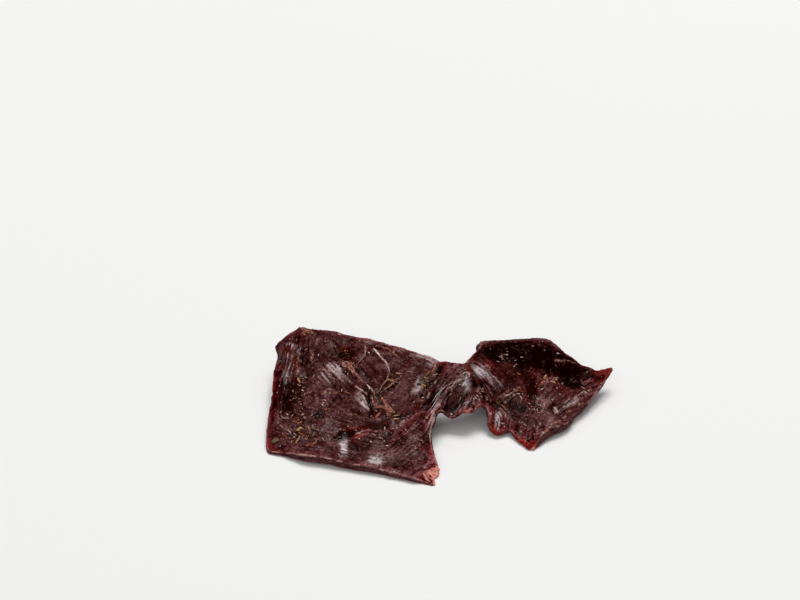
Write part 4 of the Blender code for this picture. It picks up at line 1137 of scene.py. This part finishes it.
def tissueThreads():
    parts = []
    rng = np.random.default_rng(22)
    for tone, radius, lift, line in threadPiece["threads"]:
        line = np.array(line) - drawingMiddle
        along = np.concatenate([[0], np.cumsum(np.linalg.norm(np.diff(line, axis=0), axis=1))])
        count = max(4, int(along[-1] / threadPiece["step"]))
        where = np.linspace(0, along[-1], count)
        points = []
        for axis in (0, 1):
            values = np.pad(np.interp(where, along, line[:, axis]), 1, "edge")
            shake = rng.normal(0, threadPiece["shake"], count)
            points.append(np.convolve(values, [0.25, 0.5, 0.25], "valid") + shake)
        spine, normals, widths, heights = [], [], [], []
        for k, (x, y) in enumerate(zip(*points)):
            centre = onSkin(x, y)
            if centre is None:
                continue
            full = math.sin(math.pi * min(max(k / (count - 1), 0.06), 0.94)) ** 0.5
            normals.append(skinNormal(x, y, 0.8))
            spine.append(centre + normals[-1] * (lift * full - 0.05))
            widths.append(2 * radius * full * rng.uniform(0.7, 1.3))
            heights.append(1.4 * radius * full * rng.uniform(0.7, 1.2))
        if len(spine) >= 3:
            frames = framesAlong(spine, normals)
            parts.append((tubeParts(spine, widths, heights, frames, threadPiece["sides"]), tone))
    return parts


# Strands of muscle fibre that stand up from the face, in bundles:
# x, y, spread along and across the run, number, length, radius, darkest and palest tone
strandPiece = {
    "step": 0.45,
    "sides": 5,
    "lift": 0.03,
    "sway": 0.22,         # how much a strand turns at each step, in radians
    "bundles": [
        (-50.5, 20.5, 4.0, 2.6, 20, 2.6, 0.10, 0.1, 1.0), (-51.5, 11.0, 7.0, 2.6, 26, 2.4, 0.09, 0.1, 0.9),
        (-36.3, 5.0, 4.5, 2.6, 16, 2.6, 0.07, 0.3, 0.9), (-28.0, 10.0, 3.0, 3.0, 8, 2.0, 0.07, 0.2, 0.7),
        (-9.0, -14.0, 9.0, 3.0, 8, 3.6, 0.07, 0.3, 0.8), (0.5, -4.0, 6.0, 2.2, 22, 3.6, 0.09, 0.1, 0.75),
        (5.5, 1.0, 4.0, 2.0, 14, 2.4, 0.09, 0.3, 1.0), (3.5, 4.8, 4.0, 1.0, 8, 2.4, 0.09, 0.2, 0.8),
        (15.0, 3.4, 4.0, 3.0, 18, 2.2, 0.08, 0.4, 1.0), (8.0, -7.0, 5.0, 3.0, 16, 1.4, 0.09, 0.1, 1.0),
        (17.5, -8.0, 3.0, 3.0, 14, 1.3, 0.10, 0.2, 1.0), (25.0, -12.0, 4.0, 3.0, 10, 1.8, 0.09, 0.0, 0.6),
        (-5.0, -27.0, 6.0, 3.0, 8, 3.0, 0.07, 0.3, 0.9), (47.0, 12.0, 6.0, 2.4, 12, 2.0, 0.08, 0.0, 0.7),
        (24.0, 11.0, 4.0, 3.0, 10, 1.6, 0.08, 0.3, 1.0), (-27.0, -15.0, 3.0, 1.2, 12, 1.8, 0.10, 0.3, 1.0),
    ],
}

# Torn fibres of the two tips: x, y, direction in degrees, spread, number, length, radius
tornPiece = {
    "step": 0.4,
    "lift": 0.08,
    "fan": 12.0,          # spread of their directions in degrees
    "bundles": [
        (-3.6, -30.6, -10, 1.6, 16, 2.8, 0.14), (-2.8, -33.6, -60, 1.4, 16, 2.8, 0.14),
        (-5.4, -32.6, -40, 1.2, 6, 2.4, 0.10), (28.8, -17.8, -60, 1.0, 8, 1.8, 0.10),
    ],
}


def strandPart(start, heading, length, radius, piece, rng):
    # a thin strand from a place of the drawing, which follows the fibres or keeps its own heading
    place = np.array(start) - drawingMiddle
    turn = None if heading is None else np.exp(1j * heading)
    spine, normals = [], []
    for _ in range(max(3, int(length / piece["step"]))):
        bend = complex(fibreBend(*(place + drawingMiddle))) if heading is None else turn
        if turn is not None and (bend * turn.conjugate()).real < 0:
            bend = -bend
        centre = onSkin(*place)
        if centre is None:
            break
        normals.append(skinNormal(*place, 0.5))
        spine.append(centre + normals[-1] * piece["lift"])
        turn = bend * np.exp(1j * rng.normal(0, strandPiece["sway"]))
        place = place + piece["step"] * np.array([turn.real, turn.imag])
    if len(spine) < 3:
        return None
    widths, heights = [], []
    for k in range(len(spine)):
        full = math.sin(math.pi * (k + 0.6) / (len(spine) + 0.2)) ** 0.5
        widths.append(2 * radius * full * rng.uniform(0.8, 1.25))
        heights.append(2 * radius * full * rng.uniform(0.8, 1.2))
    return tubeParts(spine, widths, heights, framesAlong(spine, normals), strandPiece["sides"])


def fibreStrands():
    parts = []
    rng = np.random.default_rng(24)
    for x, y, along, across, number, length, radius, darkest, palest in strandPiece["bundles"]:
        run = complex(fibreBend(x, y))
        for _ in range(number):
            start = complex(x, y) + complex(rng.normal(0, along / 2), rng.normal(0, across / 2)) * run
            part = strandPart((start.real, start.imag), None, length * rng.uniform(0.5, 1.3),
                              radius * rng.uniform(0.7, 1.3), strandPiece, rng)
            shade = darkest + (palest - darkest) * rng.uniform() ** 2
            if part is not None:
                parts.append((part, float(shade)))
    return parts


def tornFibres():
    parts = []
    rng = np.random.default_rng(25)
    for x, y, degrees, spread, number, length, radius in tornPiece["bundles"]:
        for _ in range(number):
            start = (x + rng.normal(0, spread / 2), y + rng.normal(0, spread / 2))
            heading = math.radians(degrees + rng.normal(0, tornPiece["fan"]))
            part = strandPart(start, heading, length * rng.uniform(0.6, 1.3), radius * rng.uniform(0.7, 1.4),
                              tornPiece, rng)
            if part is not None:
                parts.append((part, float(rng.uniform())))
    return parts


# Scattered bits: the patches they lie in, size and lift in mm, number per square metre where the patch
# is full, share of it elsewhere on the face, smallest and largest scale
scatterPieces = {
    "herbSplinters": {"bed": "herbBed", "size": (1.7, 0.36, 0.24), "bend": 0.05, "sides": 4,
                      "density": 340e3, "base": 0.008, "smallest": 0.4, "largest": 1.3, "lift": 0.04,
                      "seed": 1, "hexes": ("#2a140b", "#904830", "#cc967a"), "roughness": 0.6, "coat": 0.0},
    "leafScraps": {"bed": "herbBed", "size": (1.1, 0.6, 0.14), "bend": 0.08, "sides": 4,
                   "density": 300e3, "base": 0.008, "smallest": 0.5, "largest": 1.3, "lift": 0.05, "seed": 2,
                   "hexes": ("#1c0f09", "#4c2a1c", "#86684a"), "roughness": 0.65, "coat": 0.0},
    "pepperGrains": {"bed": "crumbBed", "size": (0.6, 0.5, 0.42), "bend": 0.0, "sides": 5,
                     "density": 260e3, "base": 0.03, "smallest": 0.5, "largest": 1.2, "lift": 0.02, "seed": 3,
                     "hexes": ("#0c0503", "#22120c", "#402a1e"), "roughness": 0.5, "coat": 0.05},
    "spiceCrumbs": {"bed": "crumbBed", "size": (0.46, 0.3, 0.22), "bend": 0.0, "sides": 4,
                    "density": 800e3, "base": 0.03, "smallest": 0.4, "largest": 1.4, "lift": 0.03, "seed": 4,
                    "hexes": ("#3c160b", "#8c442c", "#cc9474"), "roughness": 0.6, "coat": 0.0},
    # flecks of fat; their whitest tone is partly a painted glint
    "fatFlecks": {"bed": "fleckBed", "size": (0.66, 0.24, 0.16), "bend": 0.1, "sides": 4,
                  "density": 1300e3, "base": 0.02, "smallest": 0.25, "largest": 1.7, "lift": 0.02, "seed": 6,
                  "hexes": ("#a04434", "#d89c88", "#fff0e6"), "roughness": 0.4, "coat": 0.1},
    "paleCrumbs": {"bed": "crumbBed", "size": (0.34, 0.24, 0.18), "bend": 0.0, "sides": 4,
                   "density": 650e3, "base": 0.04, "smallest": 0.4, "largest": 1.4, "lift": 0.03, "seed": 5,
                   "hexes": ("#7a4638", "#c4978a", "#f0d6ca"), "roughness": 0.4, "coat": 0.2},
}


def scatterTree():
    tree = bpy.data.node_groups.new("scatterBits", "GeometryNodeTree")
    tree.is_modifier = True
    identifiers = {}
    for name, kind in (("Skin", "Geometry"), ("Density", "Float"), ("Base", "Float"), ("Smallest", "Float"),
                       ("Largest", "Float"), ("Lift", "Float"), ("Seed", "Int"), ("Shape", "Object"),
                       ("Finish", "Material"), ("Bed", "String")):
        socket = tree.interface.new_socket(name, in_out="INPUT", socket_type="NodeSocket" + kind)
        identifiers[name] = socket.identifier
    tree.interface.new_socket("Bits", in_out="OUTPUT", socket_type="NodeSocketGeometry")
    source = addNode(tree, "NodeGroupInput").outputs

    # more bits where the patch is full, and none on the underside
    above = addNode(tree, "GeometryNodeInputNamedAttribute", {"data_type": "FLOAT"}, {"Name": "above"})
    bed = addNode(tree, "GeometryNodeInputNamedAttribute", {"data_type": "FLOAT"}, {"Name": source["Bed"]})
    density = bed.outputs[0]
    for operation, value in (("MAXIMUM", source["Base"]), ("MULTIPLY", above.outputs[0]),
                             ("MULTIPLY", source["Density"])):
        density = addNode(tree, "ShaderNodeMath", {"operation": operation}, {0: density, 1: value}).outputs[0]
    points = addNode(tree, "GeometryNodeDistributePointsOnFaces", {"distribute_method": "RANDOM"}, {
        "Mesh": source["Skin"], "Density": density, "Seed": source["Seed"]})

    # each bit is spun round, tilted a little, sized and toned by chance
    twice = addNode(tree, "ShaderNodeMath", {"operation": "ADD"}, {
        0: source["Seed"], 1: source["Seed"]}).outputs[0]
    chance = {}
    for name, low, high, seed in (("spin", 0.0, math.tau, source["Seed"]), ("tilt", -0.35, 0.35, twice),
                                  ("shade", 0.0, 1.0, source["Seed"])):
        chance[name] = addNode(tree, "FunctionNodeRandomValue", {"data_type": "FLOAT"}, {
            2: low, 3: high, "Seed": seed}).outputs[1]
    size = addNode(tree, "FunctionNodeRandomValue", {"data_type": "FLOAT_VECTOR"}, {
        0: source["Smallest"], 1: source["Largest"], "Seed": source["Seed"]}).outputs[0]
    turned = points.outputs["Rotation"]
    for axis, angle in (((0, 0, 1), chance["spin"]), ((0, 1, 0), chance["tilt"])):
        turn = addNode(tree, "FunctionNodeAxisAngleToRotation", None, {
            "Axis": axis, "Angle": angle}).outputs[0]
        turned = addNode(tree, "FunctionNodeRotateRotation", {"rotation_space": "LOCAL"}, {
            "Rotation": turned, "Rotate By": turn}).outputs[0]
    shape = addNode(tree, "GeometryNodeObjectInfo", None, {"Object": source["Shape"]}).outputs["Geometry"]
    placed = addNode(tree, "GeometryNodeInstanceOnPoints", None, {
        "Points": points.outputs["Points"], "Instance": shape, "Rotation": turned, "Scale": size}).outputs[0]
    up = addNode(tree, "ShaderNodeCombineXYZ", None, {"Z": source["Lift"]}).outputs[0]
    lifted = addNode(tree, "GeometryNodeTranslateInstances", None, {
        "Instances": placed, "Translation": up, "Local Space": True}).outputs[0]
    toned = addNode(tree, "GeometryNodeStoreNamedAttribute", {"data_type": "FLOAT", "domain": "INSTANCE"}, {
        "Geometry": lifted, "Name": "shade", "Value": chance["shade"]}).outputs[0]
    real = addNode(tree, "GeometryNodeRealizeInstances", None, {"Geometry": toned}).outputs[0]
    finished = addNode(tree, "GeometryNodeSetMaterial", None, {
        "Geometry": real, "Material": source["Finish"]})
    addNode(tree, "NodeGroupOutput", None, {0: finished.outputs[0]})
    return tree, identifiers


def scatteredMesh(name, bit, material, tree, identifiers):
    stations = 4
    rng = np.random.default_rng(100 + bit["seed"])
    chip = chipParts(*bit["size"], bit["bend"], stations, bit["sides"], rng)
    shape = newObject(name + "Shape", meshFromParts(name + "Shape", [(chip, 0.0)]))
    shape.data.attributes.remove(shape.data.attributes["shade"])
    carrier = newObject(name + "Carrier", skin.data)
    modifier = carrier.modifiers.new("scatter", "NODES")
    modifier.node_group = tree
    for key in ("density", "base", "smallest", "largest", "seed", "bed"):
        modifier[identifiers[key.capitalize()]] = bit[key]
    modifier[identifiers["Lift"]] = bit["lift"] * mm
    modifier[identifiers["Shape"]] = shape
    modifier[identifiers["Finish"]] = material
    carrier.update_tag()
    mesh = evaluatedMesh(carrier)
    mesh.name = name
    bpy.data.objects.remove(carrier)
    bpy.data.objects.remove(shape)
    return mesh


# Pieces placed one by one: what makes them, material, colours, roughness, grease on them
placedPieces = {
    "herbFlakes": (herbFlakes, "driedHerbLeaf", ("#180d08", "#4c2218", "#904c34", "#c8906e"), 0.6, 0.0),
    "tissueThreads": (tissueThreads, "connectiveTissue", ("#faeae2", "#d8a48e", "#ee8a68"), 0.4, 0.4),
    "driedHerbBits": (driedHerbBits, "driedSpice", tuple(bitPiece["tones"].values()), 0.55, 0.0),
    # the strands' palest tone is partly a painted glint
    "fibreStrands": (fibreStrands, "greasyMuscleFibre", ("#34080d", "#6a262a", "#a5706f", "#ead6d3"),
                     0.35, 0.9),
    "tornFibres": (tornFibres, "tornMuscleFibre", ("#d04434", "#ffa490", "#fff0e8"), 0.45, 0.2),
}
for name, (make, finish, hexes, roughness, coat) in placedPieces.items():
    addPiece(name, meshFromParts(name, make()), bitMaterial(finish, hexes, roughness, coat))
print("placed herbs, threads and fibres")

bitTree, bitSockets = scatterTree()
for name, bit in scatterPieces.items():
    bitFinish = bitMaterial(name + "Finish", bit["hexes"], bit["roughness"], bit["coat"])
    addPiece(name, scatteredMesh(name, bit, bitFinish, bitTree, bitSockets), bitFinish)
print("scattered herbs, pepper and crumbs")
